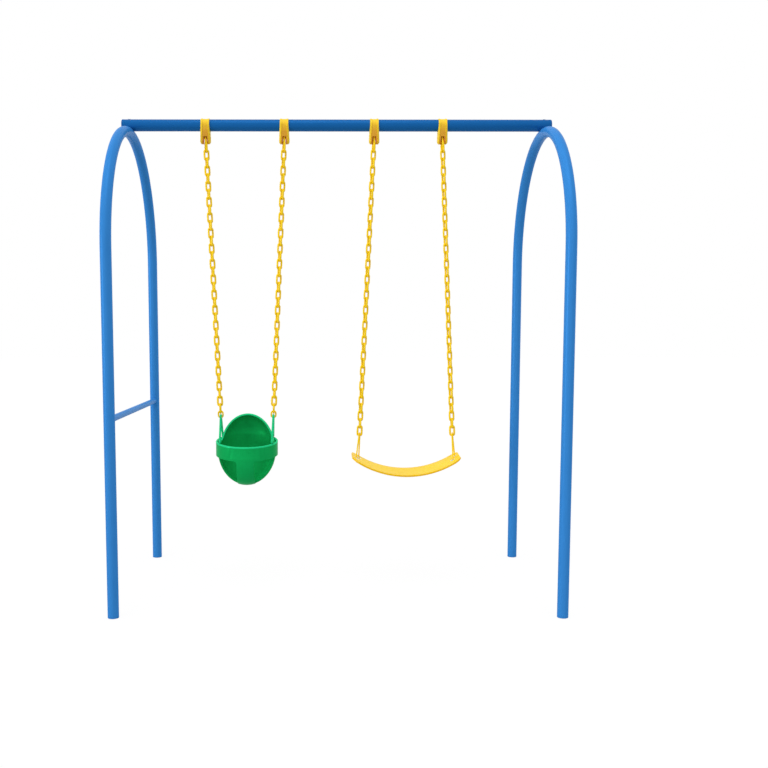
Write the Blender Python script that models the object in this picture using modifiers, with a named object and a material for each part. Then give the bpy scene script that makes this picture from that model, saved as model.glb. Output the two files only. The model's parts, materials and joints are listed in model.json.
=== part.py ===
"""Playground swing set: two arched tube frames, a top beam, a bucket swing and a belt swing on coated chains.

Units are metres, +Z is up, the beam runs along X, and the origin is on the ground under the beam's middle.
"""

import math

import bmesh
import bpy
from mathutils import Matrix, Vector

# Driving dimensions of the frame
BEAM_OD = 0.057
BEAM_WALL = 0.002
BEAM_LENGTH = 2.10
BEAM_AXIS_Z = 2.30
BEAM_OVERHANG = 0.030
LEG_OD = 0.051
LEG_WALL = 0.002
ARCH_WIDTH = 1.20
SADDLE_DEPTH = 0.014
BRACE_OD = 0.030
BRACE_WALL = 0.0015
BRACE_Z = 0.90
CAP_THICKNESS = 0.005
CAP_STEM = 0.008
PLUG_THICKNESS = 0.006
PLUG_STEM = 0.025
CAP_ROUND = 0.003
BOLT_OD = 0.008
BOLT_HEAD_OD = 0.015
BOLT_HEAD_HEIGHT = 0.003
NUT_WIDTH = 0.013
NUT_HEIGHT = 0.0065

# Driving dimensions of the hangers on the beam
HANGER_BAND = 0.004
HANGER_WIDTH = 0.042
HANGER_FOOT_WIDTH = 0.052
HANGER_FOOT_R = 0.021
HANGER_FOOT_DROP = 0.072
NOTCH_DROP = 0.044
NOTCH_TOP_WIDTH = 0.015
NOTCH_FOOT_WIDTH = 0.021
NOTCH_FLARE = 0.9
HANGER_CORNER_R = 0.012
PIN_OD = 0.010
PIN_DROP = 0.062
PIN_RECESS = 0.001

# Driving dimensions of the chains
WIRE_OD = 0.009
LINK_INSIDE = 0.0376
LINK_WIDTH = 0.031
LINK_BULGE = 0.0035
TOP_LINK_INSIDE = 0.068
LINK_BITE = 0.0004
BUCKET_LINKS = 34
BELT_LINKS = 37
CHAIN_TWIST = 25.0
TWIST_LEAD = 3
END_RING_INSIDE = 0.023
END_RING_WIDTH = 0.034

# Driving dimensions of the bucket swing
BUCKET_X = -0.452
BUCKET_HANGER_SPACING = 0.3875
BUCKET_CHAIN_SPACING = 0.266
SHELL_WIDTH = 0.293
SHELL_DEPTH = 0.270
SHELL_HEIGHT = 0.350
SHELL_WALL = 0.009
SHELL_TOP_DROP = -0.013
BUCKET_SLOPE = 8.0
RIM_Y = -0.030
BACK_RIM_Y = 0.045
BACK_LEAN = 18.0
SHOULDER_RISE = 0.054
BAND_WALL = 0.009
BAND_HEIGHT = 0.071
BAND_TOP_DROP = 0.114
POST_WIDTH = 0.086
POST_BACK_Y = 0.035
POST_LAP = 0.012
STRAP_OD = 0.011
STRAP_FRONT_Y = -0.072
STRAP_REAR_Y = 0.072
BUCKET_BALANCE_Y = -0.0245
RIVET_OD = 0.006
RIVET_HEAD_OD = 0.014
RIVET_HEAD_HEIGHT = 0.003
RIVET_Y = 0.035

# Driving dimensions of the belt swing
BELT_X = 0.352
BELT_HANGER_SPACING = 0.336
BELT_CHAIN_SPACING = 0.471
BELT_CHORD = 0.545
BELT_SAG = 0.088
BELT_WIDTH = 0.175
BELT_THICKNESS = 0.008
BELT_SLOPE = 5.0
BELT_END_WIDTH = 0.100
BELT_ROUND = 0.045
BELT_TIP_DROP = 0.103
RING_WIRE = 0.0065
RING_BASE = 0.050
RING_INSET = 0.033
RING_SKEW = 0.0085
EYELET_HOLE = 0.0148
EYELET_OD = 0.0232
EYELET_LIP = 0.0012

# Fits
FIT_GAP = 0.0003
CUT_EXTRA = 0.010
WELD = 0.000001

# Facets
TUBE_RESOLUTION = 4
BORE_RESOLUTION = 2
ARC_STEPS = 14
ROUND_STEPS = 14
SMALL_STEPS = 8
SHELL_SEGMENTS = 20
SHELL_RINGS = 12
BAND_WRAP_STEPS = 3
EYELET_STEPS = 10

# Sizes that follow from the driving ones
BEAM_R = BEAM_OD / 2
LEG_R = LEG_OD / 2
WIRE_R = WIRE_OD / 2
PIN_R = PIN_OD / 2
ARCH_X = BEAM_LENGTH / 2 - BEAM_OVERHANG
ARCH_R = ARCH_WIDTH / 2
ARCH_APEX_Z = BEAM_AXIS_Z - (BEAM_R + LEG_R - SADDLE_DEPTH)
ARCH_SPRING_Z = ARCH_APEX_Z - ARCH_R
PIN_Z = BEAM_AXIS_Z - PIN_DROP

BLUE = (0.030, 0.190, 0.620, 1)
YELLOW = (0.900, 0.560, 0.030, 1)
GREEN = (0.010, 0.300, 0.075, 1)
STEEL = (0.550, 0.560, 0.570, 1)


def clear_scene():
    for obj in list(bpy.data.objects):
        bpy.data.objects.remove(obj)


def new_collection(name):
    collection = bpy.data.collections.new(name)
    bpy.context.scene.collection.children.link(collection)
    return collection


def new_material(name, colour, roughness, metallic):
    material = bpy.data.materials.new(name)
    material.use_nodes = True
    shader = material.node_tree.nodes["Principled BSDF"]
    shader.inputs["Base Color"].default_value = colour
    shader.inputs["Roughness"].default_value = roughness
    shader.inputs["Metallic"].default_value = metallic
    return material


clear_scene()
PARTS = new_collection("swing_set")
CUTTERS = new_collection("cutters")
PAINT = new_material("blue_powder_coat", BLUE, 0.35, 0.0)
NYLON = new_material("yellow_nylon", YELLOW, 0.45, 0.0)
COATING = new_material("yellow_chain_coating", YELLOW, 0.35, 0.0)
RUBBER = new_material("yellow_belt", YELLOW, 0.50, 0.0)
MOULDING = new_material("green_moulding", GREEN, 0.40, 0.0)
ZINC = new_material("zinc_steel", STEEL, 0.35, 1.0)


def add_object(name, data, material=None, collection=None):
    obj = bpy.data.objects.new(name, data)
    (collection or PARTS).objects.link(obj)
    if material:
        obj.data.materials.append(material)
    return obj


def as_cutter(obj):
    """Keep an object as a hidden guide for Boolean cuts."""
    for collection in list(obj.users_collection):
        collection.objects.unlink(obj)
    CUTTERS.objects.link(obj)
    obj.hide_render = True
    obj.display_type = "WIRE"
    return obj


def face_outwards(bm):
    bmesh.ops.recalc_face_normals(bm, faces=bm.faces)
    if bm.calc_volume(signed=True) < 0:
        bmesh.ops.reverse_faces(bm, faces=bm.faces)


def from_bmesh(name, bm, material=None, collection=None):
    face_outwards(bm)
    mesh = bpy.data.meshes.new(name)
    bm.to_mesh(mesh)
    bm.free()
    return add_object(name, mesh, material, collection)


def shade_round(obj):
    obj.data.shade_smooth()
    obj.data.set_sharp_from_angle(angle=math.radians(40))


def apply_modifiers(obj):
    """Bake an object's modifiers into its mesh."""
    graph = bpy.context.evaluated_depsgraph_get()
    baked = bpy.data.meshes.new_from_object(obj.evaluated_get(graph))
    obj.modifiers.clear()
    obj.data = baked


def boolean(obj, other, operation):
    modifier = obj.modifiers.new(operation.lower(), "BOOLEAN")
    modifier.operation = operation
    modifier.object = other
    bpy.context.view_layer.update()
    apply_modifiers(obj)


def cut(obj, *cutters):
    for cutter in cutters:
        boolean(obj, as_cutter(cutter), "DIFFERENCE")


def join(obj, other):
    boolean(obj, other, "UNION")
    bpy.data.objects.remove(other)


def meshed(name, curve, material):
    """The closed mesh of a curve."""
    guide = add_object(name + "_guide", curve)
    bpy.context.view_layer.update()
    graph = bpy.context.evaluated_depsgraph_get()
    mesh = bpy.data.meshes.new_from_object(guide.evaluated_get(graph))
    bpy.data.objects.remove(guide)
    bm = bmesh.new()
    bm.from_mesh(mesh)
    bmesh.ops.remove_doubles(bm, verts=bm.verts, dist=WELD)
    return from_bmesh(name, bm, material)


def rod(name, points, radius, resolution, material=None, cyclic=False):
    """A round bar or wire along points, as a closed mesh."""
    curve = bpy.data.curves.new(name, "CURVE")
    curve.dimensions = "3D"
    curve.bevel_depth = radius
    curve.bevel_resolution = resolution
    curve.use_fill_caps = not cyclic
    spline = curve.splines.new("POLY")
    spline.points.add(len(points) - 1)
    for point, place in zip(spline.points, points):
        point.co = (*place, 1)
    spline.use_cyclic_u = cyclic
    obj = meshed(name, curve, material)
    shade_round(obj)
    return obj


def cylinder(name, radius, start, end, steps, material=None):
    """A straight round bar from start to end."""
    start, end = Vector(start), Vector(end)
    bm = bmesh.new()
    bmesh.ops.create_cone(bm, cap_ends=True, segments=steps, radius1=radius, radius2=radius,
                          depth=(end - start).length)
    turn = (end - start).to_track_quat("Z", "Y").to_matrix().to_4x4()
    bm.transform(Matrix.Translation((start + end) / 2) @ turn)
    obj = from_bmesh(name, bm, material)
    shade_round(obj)
    return obj


def box(name, low, high):
    bm = bmesh.new()
    bmesh.ops.create_cube(bm, size=1)
    low, high = Vector(low), Vector(high)
    size = high - low
    bm.transform(Matrix.Translation((low + high) / 2) @ Matrix.Diagonal((*size, 1)))
    return from_bmesh(name, bm)


def extruded(name, outlines, thickness, material):
    """Flat outlines, the first with the others as holes in it, extruded evenly to both sides of XY."""
    curve = bpy.data.curves.new(name, "CURVE")
    curve.dimensions = "2D"
    curve.fill_mode = "BOTH"
    curve.extrude = thickness / 2
    for outline in outlines:
        spline = curve.splines.new("POLY")
        spline.points.add(len(outline) - 1)
        for point, (x, y) in zip(spline.points, outline):
            point.co = (x, y, 0, 1)
        spline.use_cyclic_u = True
    return meshed(name, curve, material)


def turned(name, profile, steps, place, material):
    """Turn a profile of (radius, height) points, listed from the top down, round the local Z axis."""
    mesh = bpy.data.meshes.new(name)
    edges = [(i, i + 1) for i in range(len(profile) - 1)]
    mesh.from_pydata([(radius, 0, height) for radius, height in profile], edges, [])
    obj = add_object(name, mesh)
    screw = obj.modifiers.new("screw", "SCREW")
    screw.steps = steps
    screw.render_steps = steps
    screw.use_merge_vertices = True
    screw.merge_threshold = 0.00001
    bpy.context.view_layer.update()
    apply_modifiers(obj)
    bm = bmesh.new()
    bm.from_mesh(obj.data)
    bmesh.ops.remove_doubles(bm, verts=bm.verts, dist=WELD)
    bm.transform(place)
    face_outwards(bm)
    bm.to_mesh(obj.data)
    bm.free()
    obj.data.materials.clear()
    obj.data.materials.append(material)
    shade_round(obj)
    return obj


def aim(place, direction):
    """The matrix that puts the local origin at place and turns local +Z along direction."""
    return Matrix.Translation(place) @ Vector(direction).to_track_quat("Z", "Y").to_matrix().to_4x4()


def axis_empty(name, place, parent=None):
    """An empty on a joint's axis, which the pieces that turn about it are parented to."""
    empty = bpy.data.objects.new(name, None)
    empty.empty_display_type = "SINGLE_ARROW"
    PARTS.objects.link(empty)
    empty.parent = parent
    empty.location = Vector(place) - (parent.location if parent else Vector())
    return empty


def hang(obj, axis, place):
    """Move an object's origin to place, on a joint's axis, and parent it to that axis."""
    obj.data.transform(Matrix.Translation(-Vector(place)))
    obj.parent = axis


# Arched end frames

def arch_path(x, foot_z):
    """One leg up, a half circle over the top, and the other leg down."""
    points = [(x, -ARCH_R, foot_z)]
    for step in range(ARC_STEPS + 1):
        angle = math.pi - math.pi * step / ARC_STEPS
        points.append((x, ARCH_R * math.cos(angle), ARCH_SPRING_Z + ARCH_R * math.sin(angle)))
    points.append((x, ARCH_R, foot_z))
    return points


def arch(name, x):
    tube = rod(name, arch_path(x, PLUG_THICKNESS + FIT_GAP), LEG_R, TUBE_RESOLUTION, PAINT)
    bore_path = arch_path(x, PLUG_THICKNESS - CUT_EXTRA)
    cut(tube, rod(name + "_bore", bore_path, LEG_R - LEG_WALL, BORE_RESOLUTION))
    hole_top = (x, 0, ARCH_APEX_Z + LEG_R + CUT_EXTRA)
    hole_foot = (x, 0, ARCH_APEX_Z)
    cut(tube, cylinder(name + "_bolt_hole", BOLT_OD / 2 + FIT_GAP, hole_top, hole_foot, SMALL_STEPS))
    return tube


def end_plug(name, outer_r, bore_r, thickness, stem, place):
    """A rounded cap with a stem that plugs the end of a tube. Local +Z points into the tube."""
    stem_r = bore_r * math.cos(math.pi / (2 * BORE_RESOLUTION + 4)) - FIT_GAP
    profile = [
        (0, thickness + stem),
        (stem_r, thickness + stem),
        (stem_r, thickness),
        (outer_r, thickness),
        (outer_r, CAP_ROUND),
        (outer_r - CAP_ROUND, 0),
        (0, 0),
    ]
    return turned(name, profile, 2 * TUBE_RESOLUTION + 4, place, PAINT)


def build_end_frames():
    for side, x in (("left", -ARCH_X), ("right", ARCH_X)):
        arch(side + "_arch", x)
        for end, y in (("front", -ARCH_R), ("rear", ARCH_R)):
            place = Matrix.Translation((x, y, 0))
            end_plug(f"{side}_{end}_foot_plug", LEG_R, LEG_R - LEG_WALL, PLUG_THICKNESS, PLUG_STEM, place)


def build_brace():
    """The rung between the legs of the left arch, coped to both legs."""
    half = ARCH_R
    tube = cylinder("left_brace", BRACE_OD / 2, (-ARCH_X, -half, BRACE_Z), (-ARCH_X, half, BRACE_Z),
                    ROUND_STEPS, PAINT)
    for y in (-ARCH_R, ARCH_R):
        low = (-ARCH_X, y, BRACE_Z - BRACE_OD)
        high = (-ARCH_X, y, BRACE_Z + BRACE_OD)
        cut(tube, cylinder("brace_cope", LEG_R + FIT_GAP, low, high, 2 * ROUND_STEPS))
    bore_r = BRACE_OD / 2 - BRACE_WALL
    ends = [(-ARCH_X, y, BRACE_Z) for y in (-half, half)]
    cut(tube, cylinder("brace_bore", bore_r, *ends, SMALL_STEPS))
    return tube


# Top beam, its caps and the bolts that hold it on the arches

def build_beam():
    half = BEAM_LENGTH / 2
    tube = cylinder("top_beam", BEAM_R, (-half, 0, BEAM_AXIS_Z), (half, 0, BEAM_AXIS_Z), ROUND_STEPS, PAINT)
    reach = half + CUT_EXTRA
    cut(tube, cylinder("beam_bore", BEAM_R - BEAM_WALL, (-reach, 0, BEAM_AXIS_Z), (reach, 0, BEAM_AXIS_Z),
                       ROUND_STEPS))
    for side, x in (("left", -ARCH_X), ("right", ARCH_X)):
        cut(tube, rod("saddle", arch_path(x, ARCH_SPRING_Z - LEG_R), LEG_R + FIT_GAP, TUBE_RESOLUTION))
        top = BEAM_AXIS_Z + BEAM_R
        cut(tube, cylinder("beam_bolt_hole", BOLT_OD / 2 + FIT_GAP, (x, 0, top + CUT_EXTRA),
                           (x, 0, BEAM_AXIS_Z), SMALL_STEPS))
    for side, sign in (("left", -1), ("right", 1)):
        place = aim((sign * (half + CAP_THICKNESS + FIT_GAP), 0, BEAM_AXIS_Z), (-sign, 0, 0))
        end_plug(f"beam_{side}_end_cap", BEAM_R, BEAM_R - BEAM_WALL, CAP_THICKNESS, CAP_STEM, place)


def build_beam_bolts():
    seat = BEAM_AXIS_Z + BEAM_R + FIT_GAP
    nut_corner = NUT_WIDTH / 2 / math.cos(math.pi / 6)
    bore_flat = (LEG_R - LEG_WALL) * math.cos(math.pi / (2 * BORE_RESOLUTION + 4))
    facet_drop = nut_corner * math.tan(math.pi / ARC_STEPS / 2)
    nut_top = ARCH_APEX_Z + math.sqrt(bore_flat ** 2 - nut_corner ** 2) - facet_drop - FIT_GAP
    nut_foot = nut_top - NUT_HEIGHT
    shank_r = BOLT_OD / 2
    for side, x in (("left", -ARCH_X), ("right", ARCH_X)):
        profile = [
            (0, seat + BOLT_HEAD_HEIGHT),
            (BOLT_HEAD_OD * 0.3, seat + BOLT_HEAD_HEIGHT * 0.8),
            (BOLT_HEAD_OD / 2, seat),
            (shank_r, seat),
            (shank_r, nut_foot),
            (0, nut_foot),
        ]
        turned(f"{side}_beam_bolt", profile, SMALL_STEPS, Matrix.Translation((x, 0, 0)), ZINC)
        nut = cylinder(f"{side}_beam_nut", nut_corner, (x, 0, nut_foot), (x, 0, nut_top), 6, ZINC)
        bore_r = (shank_r + FIT_GAP) / math.cos(math.pi / SMALL_STEPS)
        ends = [(x, 0, z) for z in (nut_foot - CUT_EXTRA, nut_top + CUT_EXTRA)]
        cut(nut, cylinder("nut_bore", bore_r, *ends, SMALL_STEPS))


# Hangers and their pins

def hanger_outline():
    """The pear-shaped side view, as (y, z) from the beam's axis: a ring round the beam and a rounded foot."""
    ring_r = BEAM_R + FIT_GAP + HANGER_BAND
    lean = math.asin((HANGER_FOOT_R - ring_r) / HANGER_FOOT_DROP)
    points = []
    for step in range(ROUND_STEPS - 3):
        angle = lean + (math.pi - 2 * lean) * step / (ROUND_STEPS - 4)
        points.append((ring_r * math.cos(angle), ring_r * math.sin(angle)))
    for step in range(SMALL_STEPS - 1):
        angle = math.pi - lean + (math.pi + 2 * lean) * step / (SMALL_STEPS - 2)
        points.append((HANGER_FOOT_R * math.cos(angle), HANGER_FOOT_R * math.sin(angle) - HANGER_FOOT_DROP))
    return points


def hanger_width(drop):
    """The width along the beam, drop below its axis: wider toward the foot, with rounded lower corners."""
    share = min(1, max(0, (drop - BEAM_R) / (HANGER_FOOT_DROP - BEAM_R)))
    past = max(0, drop - (HANGER_FOOT_DROP + HANGER_FOOT_R - HANGER_CORNER_R))
    corner = HANGER_CORNER_R - math.sqrt(max(0, HANGER_CORNER_R ** 2 - past ** 2))
    return HANGER_WIDTH + share * (HANGER_FOOT_WIDTH - HANGER_WIDTH) - 2 * corner


def hanger(name, x):
    """A moulded hanger: it wraps the beam, widens to its foot, and has a flared notch for the top link."""
    bore_r = (BEAM_R + FIT_GAP) / math.cos(math.pi / ROUND_STEPS)
    turns = [2 * math.pi * i / ROUND_STEPS for i in range(ROUND_STEPS)]
    bore = [(bore_r * math.cos(turn), bore_r * math.sin(turn)) for turn in turns]
    body = extruded(name, [hanger_outline(), bore], 1, NYLON)
    body.data.transform(Matrix(((0, 0, 1, 0), (1, 0, 0, 0), (0, 1, 0, 0), (0, 0, 0, 1))))
    for vert in body.data.vertices:
        vert.co.x *= hanger_width(-vert.co.z)
    body.data.transform(Matrix.Translation((x, 0, BEAM_AXIS_Z)))
    foot_z = BEAM_AXIS_Z - HANGER_FOOT_DROP - HANGER_FOOT_R
    notch_top = BEAM_AXIS_Z - NOTCH_DROP
    notches = []
    for end in (-1, 1):
        low_y, high_y = sorted((end * BEAM_OD, -end * FIT_GAP))
        half_foot = NOTCH_FOOT_WIDTH / 2
        notch = box("notch", (x - half_foot, low_y, foot_z), (x + half_foot, high_y, notch_top))
        for vert in notch.data.vertices:
            flare = 1 + NOTCH_FLARE * abs(vert.co.y) / BEAM_OD
            if vert.co.z > foot_z + CUT_EXTRA:
                flare *= NOTCH_TOP_WIDTH / NOTCH_FOOT_WIDTH
            else:
                vert.co.z -= CUT_EXTRA
            vert.co.x = x + (vert.co.x - x) * flare
        notches.append(notch)
    half = HANGER_FOOT_WIDTH
    pin_hole_r = (PIN_R + FIT_GAP) / math.cos(math.pi / SMALL_STEPS)
    pin_hole = cylinder("pin_hole", pin_hole_r, (x - half, 0, PIN_Z), (x + half, 0, PIN_Z), SMALL_STEPS)
    cut(body, *notches, pin_hole)
    shade_round(body)
    return body


def pin(name, x):
    half = hanger_width(PIN_DROP) / 2 - PIN_RECESS
    return cylinder(name, PIN_R, (x - half, 0, PIN_Z), (x + half, 0, PIN_Z), SMALL_STEPS, ZINC)


# Chains

def link_ridge(inside):
    """How far a crown's inner edge lies from its centre line, on a wire mitred at the crown's corners."""
    turn = math.pi / 2 - math.atan2(LINK_BULGE, inside / 2)
    return WIRE_R * math.cos(turn / 2)


def link_points(inside, width):
    """The centre line of a link in its own XZ plane: two flat crowns and sides that bulge in the middle."""
    half_width = width / 2 - WIRE_R
    half_crown = half_width - LINK_BULGE
    crown = inside / 2 + link_ridge(inside)
    right = [(half_crown, -crown), (half_width, 0), (half_crown, crown)]
    left = [(-x, z) for x, z in reversed(right)]
    return [(x, 0, z) for x, z in (*right, *left)]


def chain_frame(top, foot):
    """The matrix of a chain: local -Z runs from the pin to the seat joint, and Y stays level."""
    lean = math.atan2(top[0] - foot[0], top[2] - foot[2])
    return Matrix.Translation(top) @ Matrix.Rotation(lean, 4, "Y")


def link_turn(index, links):
    """The angle of a link about its chain: quarter turns, and a twist that eases out over the last few."""
    from_end = links - 1 - index
    return math.radians(90 * (index % 2) + CHAIN_TWIST * min(1, from_end / TWIST_LEAD))


def links_mesh(name, first, links):
    """Every second link of a chain, from link number first."""
    single = rod(name, link_points(LINK_INSIDE, LINK_WIDTH), WIRE_R, 0, COATING, cyclic=True)
    bm = bmesh.new()
    for index in range(first, links, 2):
        before = len(bm.verts)
        bm.from_mesh(single.data)
        bm.verts.ensure_lookup_table()
        drop = FIRST_LINK_START + LINK_INSIDE / 2 + index * LINK_PITCH
        place = Matrix.Translation((0, 0, -drop)) @ Matrix.Rotation(link_turn(index, links), 4, "Z")
        bmesh.ops.transform(bm, verts=bm.verts[before:], matrix=place)
    bpy.data.objects.remove(single)
    return bm


TOP_LINK_START = -(PIN_R + 2 * FIT_GAP)
FIRST_LINK_START = TOP_LINK_START + TOP_LINK_INSIDE - FIT_GAP
LINK_PITCH = LINK_INSIDE + LINK_BITE


def end_ring_start(links):
    """How far below the pin an end ring's inside starts, hung in the last link with a fit gap."""
    return FIRST_LINK_START + (links - 1) * LINK_PITCH + LINK_INSIDE - FIT_GAP


def chain_reach(links, ringed):
    """The length from the pin's axis to the middle of the last crown."""
    if ringed:
        return end_ring_start(links) + END_RING_INSIDE + link_ridge(END_RING_INSIDE)
    return FIRST_LINK_START + (links - 1) * LINK_PITCH + LINK_INSIDE + link_ridge(LINK_INSIDE)


def top_link(name, frame):
    """The long link on the pin, twisted along its length so that its foot meets the chain square."""
    points = []
    for x, _, z in link_points(TOP_LINK_INSIDE, LINK_WIDTH):
        share = min(1, max(0, -2 * z / TOP_LINK_INSIDE))
        turn = math.pi / 2 + math.radians(CHAIN_TWIST) * share
        points.append((x * math.cos(turn), x * math.sin(turn), z))
    link = rod(name, points, WIRE_R, 1, COATING, cyclic=True)
    drop = TOP_LINK_START + TOP_LINK_INSIDE / 2
    link.data.transform(frame @ Matrix.Translation((0, 0, -drop)))
    return link


def chain(name, frame, links):
    """A run of coated links, each turned a quarter turn from the last and bearing on it at the crown."""
    body = from_bmesh(name, links_mesh(name, 0, links), COATING)
    join(body, from_bmesh(name + "_edge_on", links_mesh(name, 1, links), COATING))
    body.data.transform(frame)
    return body


def end_ring(name, frame, links):
    """The short wide ring below a chain's last link, face-on, that a seat's strap hangs from."""
    ring = rod(name, link_points(END_RING_INSIDE, END_RING_WIDTH), WIRE_R, 1, COATING, cyclic=True)
    drop = end_ring_start(links) + END_RING_INSIDE / 2
    ring.data.transform(frame @ Matrix.Translation((0, 0, -drop)))
    return ring


def seat_joint_z(hanger_spacing, chain_spacing, links, ringed):
    """The height of the axis that a seat tilts on, through the last crowns of its two chains."""
    spread = (chain_spacing - hanger_spacing) / 2
    return PIN_Z - math.sqrt(chain_reach(links, ringed) ** 2 - spread ** 2)


def build_hung_pair(prefix, x, hanger_spacing, chain_spacing, links, ringed):
    """Hangers, pins, top links, chains and end rings of one swing. Returns the tilt axis and its place."""
    tilt_z = seat_joint_z(hanger_spacing, chain_spacing, links, ringed)
    pivot = (x, 0, PIN_Z)
    swing_axis = axis_empty(prefix + "_swing_axis", pivot)
    for side, sign in (("left", -1), ("right", 1)):
        top = (x + sign * hanger_spacing / 2, 0, PIN_Z)
        foot = (x + sign * chain_spacing / 2, 0, tilt_z)
        frame = chain_frame(top, foot)
        hanger(f"{prefix}_{side}_hanger", top[0])
        pin(f"{prefix}_{side}_hanger_pin", top[0])
        hang(top_link(f"{prefix}_{side}_top_link", frame), swing_axis, pivot)
        hang(chain(f"{prefix}_{side}_chain", frame, links), swing_axis, pivot)
        if ringed:
            hang(end_ring(f"{prefix}_{side}_end_ring", frame, links), swing_axis, pivot)
    return axis_empty(prefix + "_tilt_axis", (x, 0, tilt_z), swing_axis), Vector((x, 0, tilt_z))


# Bucket seat

def ellipsoid(name, half_size, centre, segments, rings, material=None):
    bm = bmesh.new()
    bmesh.ops.create_uvsphere(bm, u_segments=segments, v_segments=rings, radius=1)
    bm.transform(Matrix.Rotation(math.pi / 2, 4, "X"))
    bm.transform(Matrix.Translation(centre) @ Matrix.Diagonal((*half_size, 1)))
    return from_bmesh(name, bm, material)


def bucket_centre(tilt_z):
    return Vector((BUCKET_X, BUCKET_BALANCE_Y, tilt_z - SHELL_TOP_DROP - SHELL_HEIGHT / 2))


def bucket_slope(y):
    """How far a spot of the bucket lies above a level one, y from the bucket's middle: the front dips."""
    return y * math.tan(math.radians(BUCKET_SLOPE))


def slope_bucket(piece, tilt_z):
    centre = bucket_centre(tilt_z)
    for vert in piece.data.vertices:
        vert.co.z += bucket_slope(vert.co.y - centre.y)


def bucket_layer(name, outward, thickness, tilt_z, material=None):
    """A closed egg-shaped skin of the given thickness, its outside outward of the shell's own outside."""
    centre = bucket_centre(tilt_z)
    size = Vector((SHELL_WIDTH, SHELL_DEPTH, SHELL_HEIGHT)) / 2
    skin = ellipsoid(name, size + Vector((outward,) * 3), centre, SHELL_SEGMENTS, SHELL_RINGS, material)
    inner_size = size + Vector((outward - thickness,) * 3)
    inner = ellipsoid(name + "_inside", inner_size, centre, SHELL_SEGMENTS, SHELL_RINGS)
    cut(skin, inner)
    return skin


def rim_y(height):
    """Where the scoop's open edge lies: forward beside the seat, drawn back over the shoulder."""
    share = min(1, max(0, height / SHOULDER_RISE))
    return RIM_Y + (BACK_RIM_Y - RIM_Y) * share


def bucket_shell(tilt_z):
    """The scoop of the seat and the leaning back: an egg drawn back to its open edge, then given a wall."""
    centre = bucket_centre(tilt_z)
    half = Vector((SHELL_WIDTH, SHELL_DEPTH, SHELL_HEIGHT)) / 2
    skin = ellipsoid("bucket_shell", half, centre, SHELL_SEGMENTS, SHELL_RINGS, MOULDING)
    bm = bmesh.new()
    bm.from_mesh(skin.data)
    rim = centre + Vector((0, RIM_Y, 0))
    bmesh.ops.bisect_plane(bm, geom=[*bm.verts, *bm.edges, *bm.faces], plane_co=rim,
                           plane_no=(0, -1, 0), clear_outer=True)
    lean_z = tilt_z - BAND_TOP_DROP
    for vert in bm.verts:
        offset = vert.co - centre
        round_part = Vector((offset.x / half.x, offset.z / half.z)).normalized()
        edge = rim_y(half.z * round_part.y)
        if edge > RIM_Y and offset.y < edge:
            round_part *= math.sqrt(1 - (edge / half.y) ** 2)
            vert.co = centre + Vector((half.x * round_part.x, edge, half.z * round_part.y))
        vert.co.y += max(0, vert.co.z - lean_z) * math.tan(math.radians(BACK_LEAN))
    bmesh.ops.remove_doubles(bm, verts=bm.verts, dist=WELD)
    bm.to_mesh(skin.data)
    bm.free()
    slope_bucket(skin, tilt_z)
    wall = skin.modifiers.new("wall", "SOLIDIFY")
    wall.thickness = SHELL_WALL
    wall.offset = -1
    wall.use_even_offset = True
    apply_modifiers(skin)
    shade_round(skin)
    return skin


def oval_band(name, half_x, half_y, wall, centre, low_z, high_z):
    """An upright oval band, open at the back, with its corners at the same angles as the shell's."""
    outer, inner = [], []
    for step in range(-BAND_WRAP_STEPS, SHELL_RINGS + BAND_WRAP_STEPS + 1):
        angle = math.pi + math.pi * step / SHELL_RINGS
        outer.append((half_x * math.cos(angle), half_y * math.sin(angle)))
        inner.append(((half_x - wall) * math.cos(angle), (half_y - wall) * math.sin(angle)))
    band = extruded(name, [outer + inner[::-1]], high_z - low_z, MOULDING)
    band.data.transform(Matrix.Translation((centre.x, centre.y, (low_z + high_z) / 2)))
    return band


def bucket_guard(tilt_z):
    """The front guard: a band round the front and sides, and a post down to the bottom of the scoop."""
    centre = bucket_centre(tilt_z)
    high_z = tilt_z - BAND_TOP_DROP
    low_z = high_z - BAND_HEIGHT
    grow = FIT_GAP + BAND_WALL
    band = oval_band("bucket_front_guard", SHELL_WIDTH / 2 + grow, SHELL_DEPTH / 2 + grow, BAND_WALL, centre,
                     low_z, high_z)
    post = bucket_layer("guard_post", grow, BAND_WALL, tilt_z)
    reach = SHELL_HEIGHT
    half = POST_WIDTH / 2
    keep = box("post_keep", (centre.x - half, centre.y - reach, centre.z - reach),
               (centre.x + half, centre.y + POST_BACK_Y, low_z + POST_LAP))
    boolean(post, as_cutter(keep), "INTERSECT")
    join(band, post)
    slope_bucket(band, tilt_z)
    shade_round(band)
    return band


def bucket_strap(name, x, tilt_z):
    """One hanging strap: up from the front of the band, over the chain's last crown, and down to the rear."""
    centre = bucket_centre(tilt_z)
    foot_z = tilt_z - BAND_TOP_DROP + FIT_GAP
    sign = 1 if x > BUCKET_X else -1
    mid_x = SHELL_WIDTH / 2 + FIT_GAP + BAND_WALL / 2
    mid_y = SHELL_DEPTH / 2 + FIT_GAP + BAND_WALL / 2
    slant = STRAP_OD / 2 * math.tan(math.radians(BUCKET_SLOPE))

    def anchor(y):
        x = centre.x + sign * mid_x * math.sqrt(1 - (y / mid_y) ** 2)
        return Vector((x, centre.y + y, foot_z + bucket_slope(y) + slant))

    bend_r = (WIRE_R + FIT_GAP + STRAP_OD / 2) * 0.968
    over = []
    for step in range(7):
        angle = math.pi - math.pi * step / 6
        over.append((x, bend_r * math.cos(angle), tilt_z + bend_r * math.sin(angle)))
    front, rear = anchor(STRAP_FRONT_Y), anchor(STRAP_REAR_Y)
    points = [front, front + Vector((0, 0, STRAP_OD)), *over, rear + Vector((0, 0, STRAP_OD)), rear]
    return rod(name, points, STRAP_OD / 2, 1, MOULDING)


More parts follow.
